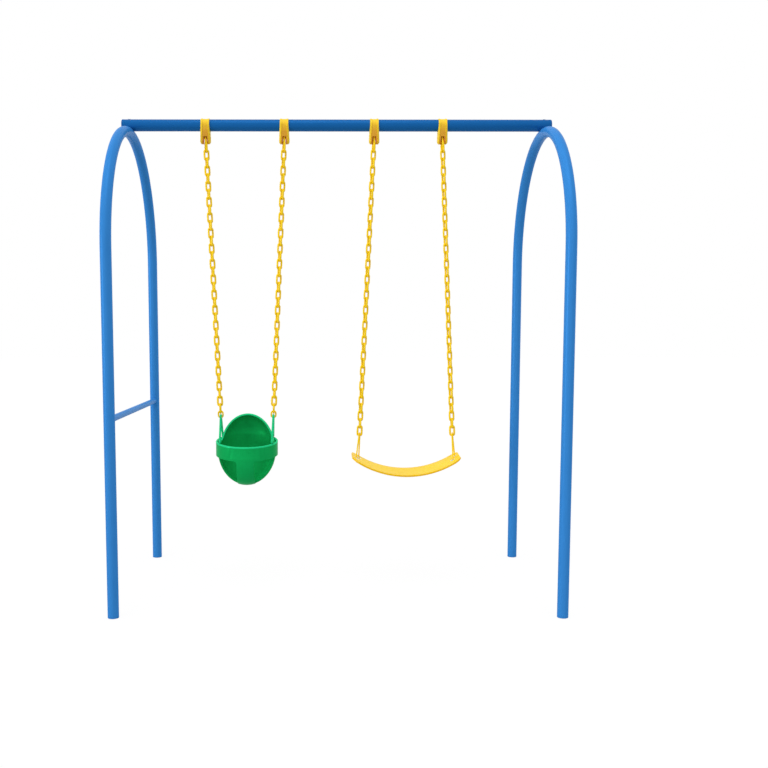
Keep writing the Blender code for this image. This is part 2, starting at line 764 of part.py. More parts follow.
def rivet(name, place, direction, grip):
    """A round-headed rivet whose shank runs back through its grip. Local +Z points out of the head."""
    shank_r = RIVET_OD / 2
    profile = [
        (0, RIVET_HEAD_HEIGHT),
        (RIVET_HEAD_OD * 0.3, RIVET_HEAD_HEIGHT * 0.8),
        (RIVET_HEAD_OD / 2, FIT_GAP),
        (shank_r, FIT_GAP),
        (shank_r, -grip),
        (0, -grip),
    ]
    return turned(name, profile, SMALL_STEPS, aim(place, direction), ZINC)


def build_bucket_seat(tilt_axis, tilt_place):
    tilt_z = tilt_place.z
    shell = bucket_shell(tilt_z)
    guard = bucket_guard(tilt_z)
    pieces = [shell, guard]
    for side, sign in (("left", -1), ("right", 1)):
        strap_x = BUCKET_X + sign * BUCKET_CHAIN_SPACING / 2
        pieces.append(bucket_strap(f"bucket_{side}_strap", strap_x, tilt_z))
    centre = bucket_centre(tilt_z)
    out_x = SHELL_WIDTH / 2 + FIT_GAP + BAND_WALL
    out_y = SHELL_DEPTH / 2 + FIT_GAP + BAND_WALL
    grip = BAND_WALL + SHELL_WALL
    spots = []
    for side, sign in (("left", -1), ("right", 1)):
        angle = math.asin(RIVET_Y / out_y)
        place = Vector((centre.x + sign * out_x * math.cos(angle), centre.y + RIVET_Y,
                        centre.z + bucket_slope(RIVET_Y)))
        spots.append((f"bucket_{side}_rivet", place, Vector((sign * math.cos(angle), math.sin(angle), 0))))
    for name, place, direction in spots:
        hole_r = (RIVET_OD / 2 + FIT_GAP) / math.cos(math.pi / SMALL_STEPS)
        reach = direction * 2 * grip
        for piece in (shell, guard):
            cut(piece, cylinder("rivet_hole", hole_r, place - reach, place + reach, SMALL_STEPS))
        pieces.append(rivet(name, place, direction, grip))
    for piece in pieces:
        hang(piece, tilt_axis, tilt_place)


# Belt seat

BELT_R = ((BELT_CHORD / 2) ** 2 + BELT_SAG ** 2) / (2 * BELT_SAG)
BELT_HALF_ANGLE = math.asin(BELT_CHORD / 2 / BELT_R)


def belt_point(angle, y, tilt_z):
    """A point of the belt's middle surface, angle from the bottom of the sag. The front edge hangs lower."""
    middle_z = tilt_z - BELT_TIP_DROP - BELT_SAG + BELT_R
    dip = y * math.tan(math.radians(BELT_SLOPE))
    return Vector((BELT_X + BELT_R * math.sin(angle), y, middle_z - BELT_R * math.cos(angle) + dip))


def belt_half_width(angle):
    """Full width along the belt, drawn in over a rounded stretch at each end."""
    from_tip = (BELT_HALF_ANGLE - abs(angle)) * BELT_R
    share = min(1, from_tip / BELT_ROUND)
    rounding = math.sqrt(max(0, 1 - (1 - share) ** 2))
    return (BELT_END_WIDTH + (BELT_WIDTH - BELT_END_WIDTH) * rounding) / 2


def build_belt(tilt_z):
    bm = bmesh.new()
    bmesh.ops.create_grid(bm, x_segments=26, y_segments=3, size=1)
    for vert in bm.verts:
        share = math.sin(vert.co.x * math.pi / 2)
        angle = BELT_HALF_ANGLE * share
        vert.co = belt_point(angle, vert.co.y * belt_half_width(angle), tilt_z)
    belt = from_bmesh("belt_seat", bm, RUBBER)
    solidify = belt.modifiers.new("thickness", "SOLIDIFY")
    solidify.thickness = BELT_THICKNESS
    solidify.offset = 0
    apply_modifiers(belt)
    return belt


def ring_spot(sign, end, tilt_z):
    """The middle of the front (end -1) or rear (end 1) eyelet, and the belt's upward normal there."""
    angle = sign * (BELT_HALF_ANGLE - RING_INSET / BELT_R) + end * RING_SKEW / BELT_R
    normal = Vector((-math.sin(angle) / math.cos(angle), -math.tan(math.radians(BELT_SLOPE)), 1)).normalized()
    return belt_point(angle, end * RING_BASE / 2, tilt_z), normal


def leg_foot(sign, end, tilt_z):
    """The foot of one leg of a ring: down through its eyelet and round the corner under the belt."""
    spot, other = ring_spot(sign, end, tilt_z)[0], ring_spot(sign, -end, tilt_z)[0]
    slope = spot - other
    half = RING_BASE / 2
    foot = []
    for inward, drop in ((0, -RING_WIRE), (0, BELT_THICKNESS),
                         (RING_WIRE * 0.3, BELT_THICKNESS + RING_WIRE * 0.7),
                         (RING_WIRE, BELT_THICKNESS + RING_WIRE)):
        share = inward / RING_BASE
        foot.append((spot.x - slope.x * share, end * (half - inward), spot.z - slope.z * share - drop))
    return foot


def belt_ring(name, sign, tilt_z):
    """The tall three-sided ring: over the chain's last crown, down through two eyelets and under the belt."""
    top_x = BELT_X + sign * BELT_CHAIN_SPACING / 2
    bend_r = (WIRE_R + FIT_GAP + RING_WIRE / 2) * 1.05
    points = []
    for step in range(7):
        angle = math.pi - math.pi * step / 6
        points.append((top_x, bend_r * math.cos(angle), tilt_z + bend_r * math.sin(angle)))
    front, rear = (leg_foot(sign, end, tilt_z) for end in (-1, 1))
    points += rear + front[::-1]
    return rod(name, points, RING_WIRE / 2, 1, COATING, cyclic=True)


def eyelet(name, place, normal):
    """A rolled steel eyelet with a lip on both faces of the belt."""
    hole = EYELET_HOLE / 2 / math.cos(math.pi / EYELET_STEPS)
    neck = hole + EYELET_LIP
    half = BELT_THICKNESS / 2 + FIT_GAP
    lip = EYELET_OD / 2
    profile = [
        (hole, half + EYELET_LIP),
        (lip, half),
        (neck, half),
        (neck, -half),
        (lip, -half),
        (hole, -half - EYELET_LIP),
        (hole, half + EYELET_LIP),
    ]
    return turned(name, profile, EYELET_STEPS, aim(place, normal), ZINC)


def build_belt_seat(tilt_axis, tilt_place):
    tilt_z = tilt_place.z
    belt = build_belt(tilt_z)
    pieces = [belt]
    neck = EYELET_HOLE / 2 / math.cos(math.pi / EYELET_STEPS) + EYELET_LIP
    hole_r = (neck + FIT_GAP) / math.cos(math.pi / EYELET_STEPS)
    for side, sign in (("left", -1), ("right", 1)):
        pieces.append(belt_ring(f"belt_{side}_ring", sign, tilt_z))
        for row, end in (("front", -1), ("rear", 1)):
            place, normal = ring_spot(sign, end, tilt_z)
            reach = normal * 2 * BELT_THICKNESS
            cut(belt, cylinder("eyelet_hole", hole_r, place - reach, place + reach, EYELET_STEPS))
            pieces.append(eyelet(f"belt_{side}_{row}_eyelet", place, normal))
    shade_round(belt)
    for piece in pieces:
        hang(piece, tilt_axis, tilt_place)


build_end_frames()
build_brace()
build_beam()
build_beam_bolts()
bucket_joint = build_hung_pair("bucket", BUCKET_X, BUCKET_HANGER_SPACING, BUCKET_CHAIN_SPACING,
                               BUCKET_LINKS, True)
belt_joint = build_hung_pair("belt", BELT_X, BELT_HANGER_SPACING, BELT_CHAIN_SPACING, BELT_LINKS, False)
build_bucket_seat(*bucket_joint)
build_belt_seat(*belt_joint)
print(f"pins at z {PIN_Z:.5f}, bucket tilts at {bucket_joint[1].z:.5f}, belt tilts at {belt_joint[1].z:.5f}")
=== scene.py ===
import json
import math

import bmesh
import bpy
from mathutils import Matrix, Vector


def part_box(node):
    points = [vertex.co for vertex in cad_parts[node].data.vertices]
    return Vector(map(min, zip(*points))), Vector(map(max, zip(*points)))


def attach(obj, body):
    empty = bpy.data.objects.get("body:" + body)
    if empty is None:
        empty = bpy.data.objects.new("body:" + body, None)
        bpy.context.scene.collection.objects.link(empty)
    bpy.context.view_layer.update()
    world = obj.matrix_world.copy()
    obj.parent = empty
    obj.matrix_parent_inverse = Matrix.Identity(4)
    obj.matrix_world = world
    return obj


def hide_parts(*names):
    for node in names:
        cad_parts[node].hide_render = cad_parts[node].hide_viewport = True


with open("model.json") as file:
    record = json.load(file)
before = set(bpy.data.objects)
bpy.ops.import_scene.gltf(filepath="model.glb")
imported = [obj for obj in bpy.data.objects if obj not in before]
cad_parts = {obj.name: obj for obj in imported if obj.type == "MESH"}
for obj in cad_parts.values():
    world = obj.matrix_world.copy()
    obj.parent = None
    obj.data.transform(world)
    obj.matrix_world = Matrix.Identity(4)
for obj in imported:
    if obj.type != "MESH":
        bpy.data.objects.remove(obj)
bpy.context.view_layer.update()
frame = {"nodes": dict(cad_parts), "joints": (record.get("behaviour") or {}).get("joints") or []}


# Arched end frames. Each is one length of round steel tube, bent into an inverted U and powder-coated blue.
# The legs stand on plugged ends, and the crown carries the beam.

leg_od = 0.051
arch_sides = 32
arch_bend_steps = 56
fit_gap = 0.0003
saddle_depth = 0.014
beam_od = 0.057
plug_thickness = 0.006
weld_distance = 0.00002
soft_angle = 40
broad_detail = 4
fine_detail = 2
noise_roughness = 0.55
noise_range = (0.3, 0.7)
mix_share_socket = 0
mix_colour_sockets = (6, 7)
mix_result_socket = 2
paint_pale = (0.040, 0.242, 0.640, 1)
paint_deep = (0.034, 0.220, 0.600, 1)


def only(piece):
    """Leaves the piece as the one selected and active object."""
    bpy.ops.object.select_all(action="DESELECT")
    piece.select_set(True)
    bpy.context.view_layer.objects.active = piece


def edit(piece):
    """Opens the piece's mesh for editing."""
    only(piece)
    bpy.ops.object.mode_set(mode="EDIT")


def leave():
    """Closes the mesh that is being edited."""
    bpy.ops.object.mode_set(mode="OBJECT")


def pick(piece, kind, test):
    """Selects, in edit mode, the vertices, edges or faces whose middle and element pass the test."""
    bpy.ops.mesh.select_mode(type=kind)
    bpy.ops.mesh.select_all(action="DESELECT")
    mesh = bmesh.from_edit_mesh(piece.data)
    mesh.normal_update()
    for element in {"VERT": mesh.verts, "EDGE": mesh.edges, "FACE": mesh.faces}[kind]:
        corners = [element] if kind == "VERT" else element.verts
        middle = sum((corner.co for corner in corners), Vector()) / len(corners)
        element.select_set(bool(test(middle, element)))
    mesh.select_flush_mode()
    bmesh.update_edit_mesh(piece.data)


def settle(piece, name):
    """Names the piece and puts its place, turn and size into its mesh."""
    only(piece)
    bpy.ops.object.transform_apply(location=True, rotation=True, scale=True)
    piece.name = name
    piece.data.name = name
    return piece


def modify(piece, kind, **settings):
    """Adds one modifier to the piece and applies it."""
    only(piece)
    modifier = piece.modifiers.new(kind.lower(), kind)
    for key, value in settings.items():
        setattr(modifier, key, value)
    bpy.ops.object.modifier_apply(modifier=modifier.name)


def mend(piece):
    """Merges doubles and turns every face outwards."""
    edit(piece)
    bpy.ops.mesh.select_all(action="SELECT")
    bpy.ops.mesh.remove_doubles(threshold=weld_distance)
    bpy.ops.mesh.normals_make_consistent(inside=False)
    leave()


def carve(piece, cutter, operation="DIFFERENCE"):
    """Cuts the cutter from the piece, or joins or keeps what they share, and removes the cutter."""
    modify(piece, "BOOLEAN", object=cutter, operation=operation, solver="EXACT", material_mode="INDEX")
    bpy.data.objects.remove(cutter)


def smooth(piece, degrees):
    """Shades the piece smooth, apart from edges sharper than the angle."""
    only(piece)
    bpy.ops.object.shade_smooth_by_angle(angle=math.radians(degrees))


def merge(name, pieces):
    """Joins several meshes into one object."""
    bpy.ops.object.select_all(action="DESELECT")
    for piece in pieces:
        piece.select_set(True)
    bpy.context.view_layer.objects.active = pieces[0]
    bpy.ops.object.join()
    return settle(bpy.context.object, name)


def middle_of(node):
    """The middle of a CAD node's box."""
    low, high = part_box(node)
    return (low + high) / 2


def socket(group, side, name, kind):
    """Adds one input or output to a node group."""
    return group.interface.new_socket(name=name, in_out=side, socket_type=kind)


def surface_noise_group():
    """Broad mottling and fine grain of a surface, as two values from 0 to 1, from its own coordinates."""
    group = bpy.data.node_groups.new("surface_noise", "ShaderNodeTree")
    socket(group, "INPUT", "Vector", "NodeSocketVector")
    socket(group, "INPUT", "Broad Scale", "NodeSocketFloat")
    socket(group, "INPUT", "Fine Scale", "NodeSocketFloat")
    socket(group, "OUTPUT", "Broad", "NodeSocketFloat")
    socket(group, "OUTPUT", "Fine", "NodeSocketFloat")
    entry = group.nodes.new("NodeGroupInput")
    end = group.nodes.new("NodeGroupOutput")
    for target, detail in (("Broad", broad_detail), ("Fine", fine_detail)):
        noise = group.nodes.new("ShaderNodeTexNoise")
        noise.inputs["Detail"].default_value = detail
        noise.inputs["Roughness"].default_value = noise_roughness
        group.links.new(entry.outputs["Vector"], noise.inputs["Vector"])
        group.links.new(entry.outputs[target + " Scale"], noise.inputs["Scale"])
        group.links.new(noise.outputs["Fac"], end.inputs[target])
    return group


surface_noise = surface_noise_group()


class Finish:
    """A material whose colour, roughness and bump follow the shared noise of its own surface."""

    def __init__(self, name, pale, deep, rough, broad_scale, fine_scale, bump_depth):
        self.material = bpy.data.materials.new(name)
        self.material.use_nodes = True
        self.nodes, self.links = self.material.node_tree.nodes, self.material.node_tree.links
        self.shader = self.nodes["Principled BSDF"]
        self.place = self.nodes.new("ShaderNodeTexCoord")
        self.noise = self.nodes.new("ShaderNodeGroup")
        self.noise.node_tree = surface_noise
        self.noise.inputs["Broad Scale"].default_value = broad_scale
        self.noise.inputs["Fine Scale"].default_value = fine_scale
        self.links.new(self.place.outputs["Object"], self.noise.inputs["Vector"])
        self.colour = self.mixed(self.noise.outputs["Broad"], deep, pale)
        self.links.new(self.colour, self.shader.inputs["Base Color"])
        spread = self.nodes.new("ShaderNodeMapRange")
        spread.inputs["From Min"].default_value, spread.inputs["From Max"].default_value = noise_range
        spread.inputs["To Min"].default_value, spread.inputs["To Max"].default_value = rough
        self.links.new(self.noise.outputs["Broad"], spread.inputs["Value"])
        self.links.new(spread.outputs["Result"], self.shader.inputs["Roughness"])
        bump = self.nodes.new("ShaderNodeBump")
        bump.inputs["Strength"].default_value = 1.0
        bump.inputs["Distance"].default_value = bump_depth
        self.links.new(self.noise.outputs["Fine"], bump.inputs["Height"])
        self.links.new(bump.outputs["Normal"], self.shader.inputs["Normal"])

    def mixed(self, share, low, high):
        """A colour between low and high, each a colour or another node's output."""
        mix = self.nodes.new("ShaderNodeMix")
        mix.data_type = "RGBA"
        self.links.new(share, mix.inputs[mix_share_socket])
        for colour, number in zip((low, high), mix_colour_sockets):
            slot = mix.inputs[number]
            if isinstance(colour, bpy.types.NodeSocket):
                self.links.new(colour, slot)
            else:
                slot.default_value = colour
        return mix.outputs[mix_result_socket]

    def set(self, **values):
        """Sets inputs of the shader, named with underscores for spaces."""
        for name, value in values.items():
            self.shader.inputs[name.replace("_", " ")].default_value = value
        return self


def dress(piece, finish, body, slot, *nodes):
    """Gives the piece its finish, and fixes it to its body in place of the CAD nodes it stands for."""
    piece.data.materials.clear()
    piece.data.materials.append(finish.material)
    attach(piece, body)
    if nodes:
        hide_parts(*nodes)
    return piece


paint = Finish("blue_powder_coat", paint_pale, paint_deep,
               rough=(0.31, 0.34), broad_scale=14, fine_scale=900, bump_depth=0.000006)
paint.set(Specular_IOR_Level=0.015, Metallic=0.06)

beam_axis_z = middle_of("beam_left_end_cap").z
leg_y = middle_of("left_rear_foot_plug").y
crown_z = beam_axis_z - (beam_od / 2 + leg_od / 2 - saddle_depth)


def bent_arch(x, tube_od, foot_z):
    """A closed tube up from the front foot, over the half-round crown and down to the rear foot."""
    bpy.ops.mesh.primitive_circle_add(vertices=arch_sides, radius=tube_od / 2, location=(x, -leg_y, foot_z))
    arch = settle(bpy.context.object, "arch")
    spring_z = crown_z - leg_y
    edit(arch)
    bpy.ops.mesh.select_all(action="SELECT")
    bpy.ops.mesh.extrude_region_move(TRANSFORM_OT_translate={"value": (0, 0, spring_z - foot_z)})
    bpy.ops.mesh.spin(steps=arch_bend_steps, angle=math.pi, center=(x, 0, spring_z), axis=(1, 0, 0))
    bpy.ops.mesh.extrude_region_move(TRANSFORM_OT_translate={"value": (0, 0, foot_z - spring_z)})
    bpy.ops.mesh.select_all(action="SELECT")
    bpy.ops.mesh.fill_holes(sides=0)
    leave()
    mend(arch)
    return arch


for side in ("left", "right"):
    arch = bent_arch(middle_of(f"{side}_front_foot_plug").x, leg_od, plug_thickness + fit_gap)
    smooth(arch, soft_angle)
    settle(arch, f"{side}_arch_tube")
    dress(arch, paint, "frame", "blue_powder_coat", f"{side}_arch")


# Foot plugs. Each closes a leg with a flat moulded disc of the same blue, with a rounded edge and a shallow
# hollow underneath.

plug_hollow_r = 0.016
plug_hollow = 0.0012
plug_corner_r = 0.0015
plug_corner_steps = 4
end_facing = 0.9
flat_facing = 0.99


def round_plug(name, radius, thickness, corner_r, place, turn):
    """A disc with a rounded outer edge and a hollowed outer face. Local +Z points out of the tube."""
    bpy.ops.mesh.primitive_cylinder_add(vertices=arch_sides, radius=radius, depth=thickness)
    plug = settle(bpy.context.object, name)
    edit(plug)
    pick(plug, "FACE", lambda middle, face: face.normal.z > end_facing)
    bpy.ops.mesh.bevel(offset=corner_r, segments=plug_corner_steps, affect="EDGES")
    pick(plug, "FACE", lambda middle, face: face.normal.z > flat_facing)
    bpy.ops.mesh.inset(thickness=radius - corner_r - plug_hollow_r)
    bpy.ops.mesh.extrude_region_move(TRANSFORM_OT_translate={"value": (0, 0, -plug_hollow)})
    leave()
    smooth(plug, soft_angle)
    plug.rotation_euler = turn
    plug.location = place
    return settle(plug, name)


for side in ("left", "right"):
    for end in ("front", "rear"):
        node = f"{side}_{end}_foot_plug"
        spot = middle_of(node)
        plug = round_plug(f"{side}_{end}_foot", leg_od / 2, plug_thickness, plug_corner_r,
                          (spot.x, spot.y, plug_thickness / 2), (math.pi, 0, 0))
        dress(plug, paint, "frame", "blue_powder_coat", node)


# Brace. A thinner tube that ties the two legs of the left arch, cut to fit the rear leg, with its front end
# hidden inside the front leg. It is painted the same blue, and the right arch has none.

brace_od = 0.030
brace_sides = 28


def round_bar(name, radius, start, end, sides):
    """A closed round bar between two points."""
    start, end = Vector(start), Vector(end)
    along = end - start
    bpy.ops.mesh.primitive_cylinder_add(vertices=sides, radius=radius, depth=along.length,
                                        location=(start + end) / 2,
                                        rotation=along.to_track_quat("Z", "Y").to_euler())
    return settle(bpy.context.object, name)


brace_spot = middle_of("left_brace")
brace = round_bar("left_brace_tube", brace_od / 2, (brace_spot.x, -leg_y, brace_spot.z),
                  (brace_spot.x, leg_y, brace_spot.z), brace_sides)
carve(brace, bent_arch(brace_spot.x, leg_od + 2 * fit_gap, plug_thickness))
mend(brace)
smooth(brace, soft_angle)
dress(brace, paint, "frame", "blue_powder_coat", "left_brace")


# Top beam. A straight steel tube that is coped to lie on both crowns, painted blue, with a push-in cap at
# each end and one bolt down through it into each arch. The beam and its caps take a deeper copy of the
# arches' blue as painted shade.

beam_sides = 48
beam_edge_r = 0.0006
beam_edge_steps = 2
bevel_angle = math.radians(50)
crisp_angle = 30
cap_thickness = 0.005
cap_corner_r = 0.0035
bolt_od = 0.008
bolt_head_od = 0.015
bolt_head_height = 0.003
head_sides = 24
dome_share = 0.95
dome_steps = 4
head_angle = 50
beam_shade_pale = (0.009, 0.122, 0.380, 1)
beam_shade_deep = (0.007, 0.110, 0.350, 1)
zinc_pale = (0.80, 0.81, 0.82, 1)
zinc_deep = (0.66, 0.67, 0.69, 1)

# A deeper copy of the arches' blue: painted shade on the beam and its caps.
beam_shade_paint = Finish("blue_beam_painted_shade", beam_shade_pale, beam_shade_deep,
                    rough=(0.31, 0.34), broad_scale=14, fine_scale=900, bump_depth=0.000006)
beam_shade_paint.set(Specular_IOR_Level=0.03, Metallic=0.15)
beam_low, beam_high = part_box("top_beam")


def ease_edges(piece, edge_r, steps, **settings):
    """Rounds the sharp edges of the piece."""
    modify(piece, "BEVEL", width=edge_r, segments=steps, limit_method="ANGLE", angle_limit=bevel_angle,
           **settings)


beam = round_bar("beam_tube", beam_od / 2, (beam_low.x, 0, beam_axis_z), (beam_high.x, 0, beam_axis_z),
                 beam_sides)
for side in ("left", "right"):
    carve(beam, bent_arch(middle_of(f"{side}_front_foot_plug").x, leg_od + 2 * fit_gap, plug_thickness))
mend(beam)
ease_edges(beam, beam_edge_r, beam_edge_steps)
smooth(beam, crisp_angle)
dress(beam, beam_shade_paint, "frame", "blue_powder_coat", "top_beam")
for side, end_x, sign in (("left", beam_low.x, -1), ("right", beam_high.x, 1)):
    node = f"beam_{side}_end_cap"
    cap = round_plug(f"beam_{side}_cap", beam_od / 2, cap_thickness, cap_corner_r,
                     (end_x + sign * (fit_gap + cap_thickness / 2), 0, beam_axis_z),
                     (0, sign * math.pi / 2, 0))
    dress(cap, beam_shade_paint, "frame", "blue_powder_coat", node)

zinc = Finish("zinc_plate", zinc_pale, zinc_deep,
              rough=(0.28, 0.42), broad_scale=60, fine_scale=1400, bump_depth=0.00003)
zinc.set(Metallic=1.0)


def dome_head(name, head_od, height, shank_od, grip):
    """A low round head on a short shank. Local +Z points out of the head, which sits on z = 0."""
    bpy.ops.mesh.primitive_cylinder_add(vertices=head_sides, radius=head_od / 2, depth=height,
                                        location=(0, 0, height / 2))
    head = settle(bpy.context.object, name)
    edit(head)
    pick(head, "FACE", lambda middle, face: face.normal.z > end_facing)
    bpy.ops.mesh.bevel(offset=height * dome_share, segments=dome_steps, affect="EDGES")
    pick(head, "FACE", lambda middle, face: face.normal.z < -end_facing)
    bpy.ops.mesh.inset(thickness=(head_od - shank_od) / 2)
    bpy.ops.mesh.extrude_region_move(TRANSFORM_OT_translate={"value": (0, 0, -grip)})
    leave()
    mend(head)
    smooth(head, head_angle)
    return head


for side in ("left", "right"):
    node = f"{side}_beam_bolt"
    low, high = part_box(node)
    seat_z = beam_axis_z + beam_od / 2 + fit_gap
    bolt = dome_head(f"{side}_beam_bolt_head", bolt_head_od, bolt_head_height, bolt_od, seat_z - low.z)
    bolt.location = ((low.x + high.x) / 2, 0, seat_z)
    settle(bolt, f"{side}_beam_bolt_head")
    dress(bolt, zinc, "frame", "zinc_steel", node)
    frame["nodes"][f"{side}_beam_nut"].data.materials.clear()
    frame["nodes"][f"{side}_beam_nut"].data.materials.append(zinc.material)


# Hangers. Each is one nylon moulding that wraps the beam and forks below it, with a bright rim along both
# edges and a sunk web between, whose amber is partly the nylon's own tone and partly painted shade of the
# recess. A flared notch takes the chain's top link and is painted brown as shade, and a plated pin crosses
# it, its yellow plate deepened to the same painted shade.

hanger_band = 0.004
hanger_width = 0.042
hanger_foot_width = 0.052
hanger_foot_r = 0.021
hanger_foot_drop = 0.072
hanger_corner_r = 0.015
hanger_rim = 0.0085
hanger_rim_wall = 0.0010
hanger_web_depth = 0.0020
hanger_edge_r = 0.0015
hanger_edge_steps = 3
hanger_side_shares = (0.05, 0.5, 1)
hanger_rim_shares = (0.4, 0.7, 1)
hanger_angle = 32
web_shade_index = 1
notch_shade_index = 2
outline_steps = 24
notch_drop = 0.0445
notch_roof_slope = 0.50
notch_cuts = 7
notch_top_width = 0.0110
notch_foot_width = 0.0160
notch_top_flare = 1.4
notch_foot_flare = 2.5
pin_od = 0.010
pin_sides = 24
pin_hole_sides = 20
pin_edge_r = 0.0008
pin_edge_steps = 2
nylon_pale = (0.96, 0.66, 0.030, 1)
nylon_deep = (0.90, 0.58, 0.018, 1)
web_shade_pale = (0.78, 0.40, 0.040, 1)
web_shade_deep = (0.68, 0.31, 0.024, 1)
notch_shade_pale = (0.90, 0.36, 0.065, 1)
notch_shade_deep = (0.80, 0.29, 0.050, 1)
pin_plate_shade_pale = (0.62, 0.36, 0.09, 1)
pin_plate_shade_deep = (0.50, 0.28, 0.06, 1)

nylon = Finish("yellow_nylon", nylon_pale, nylon_deep,
               rough=(0.34, 0.46), broad_scale=40, fine_scale=700, bump_depth=0.00005)
# The amber of the sunk web: partly the nylon's own tone, partly painted shade of the recess.
web_shade = Finish("amber_nylon_web_shade", web_shade_pale, web_shade_deep,
                   rough=(0.42, 0.55), broad_scale=40, fine_scale=500, bump_depth=0.00010)
# The brown of the notch is painted shade.
notch_shade = Finish("brown_notch_painted_shade", notch_shade_pale, notch_shade_deep,
                     rough=(0.48, 0.60), broad_scale=60, fine_scale=500, bump_depth=0.00010)
for finish in (nylon, web_shade, notch_shade):
    finish.set(Specular_IOR_Level=0.25, Specular_Tint=(1, 0.9, 0.5, 1))
# Yellow zinc plate on the pins, deepened to brown as painted shade of the notch.
pin_plate_and_shade = Finish("yellow_zinc_plate_and_shade", pin_plate_shade_pale, pin_plate_shade_deep,
                    rough=(0.30, 0.44), broad_scale=60, fine_scale=1400, bump_depth=0.00003)
pin_plate_and_shade.set(Metallic=1.0)

# The web's painted shade fades to the rim's colour towards the top of the beam, where the light falls.
height = web_shade.nodes.new("ShaderNodeSeparateXYZ")
web_shade.links.new(web_shade.place.outputs["Object"], height.inputs["Vector"])
fade = web_shade.nodes.new("ShaderNodeMapRange")
fade.inputs["From Min"].default_value = beam_axis_z - hanger_foot_drop / 2
fade.inputs["From Max"].default_value = beam_axis_z + beam_od / 2
web_shade.links.new(height.outputs["Z"], fade.inputs["Value"])
web_shade.links.new(web_shade.mixed(fade.outputs["Result"], web_shade.colour, nylon_pale),
                    web_shade.shader.inputs["Base Color"])


def hanger_outline(ring_r, foot_r):
    """The hanger from the side, as y and z from the beam's axis: round over the beam and at the foot."""
    lean = math.asin((ring_r - foot_r) / hanger_foot_drop)
    points = []
    for middle_z, radius, start, sweep in ((0, ring_r, -lean, math.pi + 2 * lean),
                                           (-hanger_foot_drop, foot_r, math.pi + lean, math.pi - 2 * lean)):
        for step in range(outline_steps + 1):
            turn = start + sweep * step / outline_steps
            points.append((radius * math.cos(turn), middle_z + radius * math.sin(turn)))
    return points + points[:1]


def hanger_stations():
    """Across half the hanger: distance in from its side, depth under its outline and share of the outline."""
    stations = [(0, hanger_edge_r, share) for share in hanger_side_shares]
    for step in range(1, hanger_edge_steps + 1):
        turn = math.pi / 2 * step / hanger_edge_steps
        stations.append((hanger_edge_r * (1 - math.cos(turn)), hanger_edge_r * (1 - math.sin(turn)), 1))
    stations += [(hanger_rim * share, 0, 1) for share in hanger_rim_shares]
    stations.append((hanger_rim + hanger_rim_wall, hanger_web_depth, 1))
    stations.append((hanger_corner_r + hanger_rim_wall, hanger_web_depth, 1))
    return stations


def hanger_blank(name, x):
    """The closed blank: the outline carried across the width, full at both rims, sunk at the web."""
    half = hanger_stations()
    across = [(-1, *station) for station in half] + [(1, *station) for station in reversed(half)]
    columns = 2 * (outline_steps + 1)
    bpy.ops.mesh.primitive_grid_add(x_subdivisions=columns, y_subdivisions=len(across) - 1, size=2)
    blank = settle(bpy.context.object, name)
    for finish in (nylon, web_shade, notch_shade):
        blank.data.materials.append(finish.material)
    # The sunk web's faces take the amber painted shade.
    for face in blank.data.polygons:
        row = (face.center.y + 1) / 2 * (len(across) - 1)
        if across[math.floor(row)][2] == across[math.ceil(row)][2] == hanger_web_depth:
            face.material_index = web_shade_index
    for vert in blank.data.vertices:
        side, inwards, depth, share = across[round((vert.co.y + 1) / 2 * (len(across) - 1))]
        corner = hanger_corner_r * (1 - math.sqrt(1 - max(0, 1 - inwards / hanger_corner_r) ** 2))
        outline = hanger_outline(share * (beam_od / 2 + fit_gap + hanger_band - depth),
                                 share * (hanger_foot_r - depth - corner))
        y, z = outline[round((vert.co.x + 1) / 2 * columns)]
        spread = min(1, max(0, -z / hanger_foot_drop))
        half_width = (hanger_width + (hanger_foot_width - hanger_width) * spread) / 2
        vert.co = (x + side * (half_width - inwards), y, beam_axis_z + z)
    mend(blank)
    edit(blank)
    bpy.ops.mesh.select_all(action="SELECT")
    bpy.ops.mesh.fill_holes(sides=0)
    leave()
    mend(blank)
    return blank


def notch_wedge(x):
    """What the notch takes out: a bar along Y that widens downwards, and flares and dips to both faces."""
    bpy.ops.mesh.primitive_cube_add(size=2)
    wedge = settle(bpy.context.object, "notch_wedge")
    edit(wedge)
    bpy.ops.mesh.select_all(action="SELECT")
    bpy.ops.mesh.subdivide(number_cuts=notch_cuts)
    leave()
    for vert in wedge.data.vertices:
        out = abs(vert.co.y)
        share = (1 - vert.co.z) / 2
        half_width = (notch_top_width + (notch_foot_width - notch_top_width) * share) / 2
        flare = notch_top_flare + (notch_foot_flare - notch_top_flare) * share
        top = notch_drop + notch_roof_slope * out * beam_od
        foot = hanger_foot_drop + hanger_foot_r + hanger_band
        vert.co = (x + vert.co.x * half_width * (1 + flare * out), vert.co.y * beam_od,
                   beam_axis_z - top - (foot - top) * share)
    for finish in (nylon, web_shade, notch_shade):
        wedge.data.materials.append(finish.material)
    # Every face of the notch's cut takes the brown painted shade.
    for face in wedge.data.polygons:
        face.material_index = notch_shade_index
    return wedge


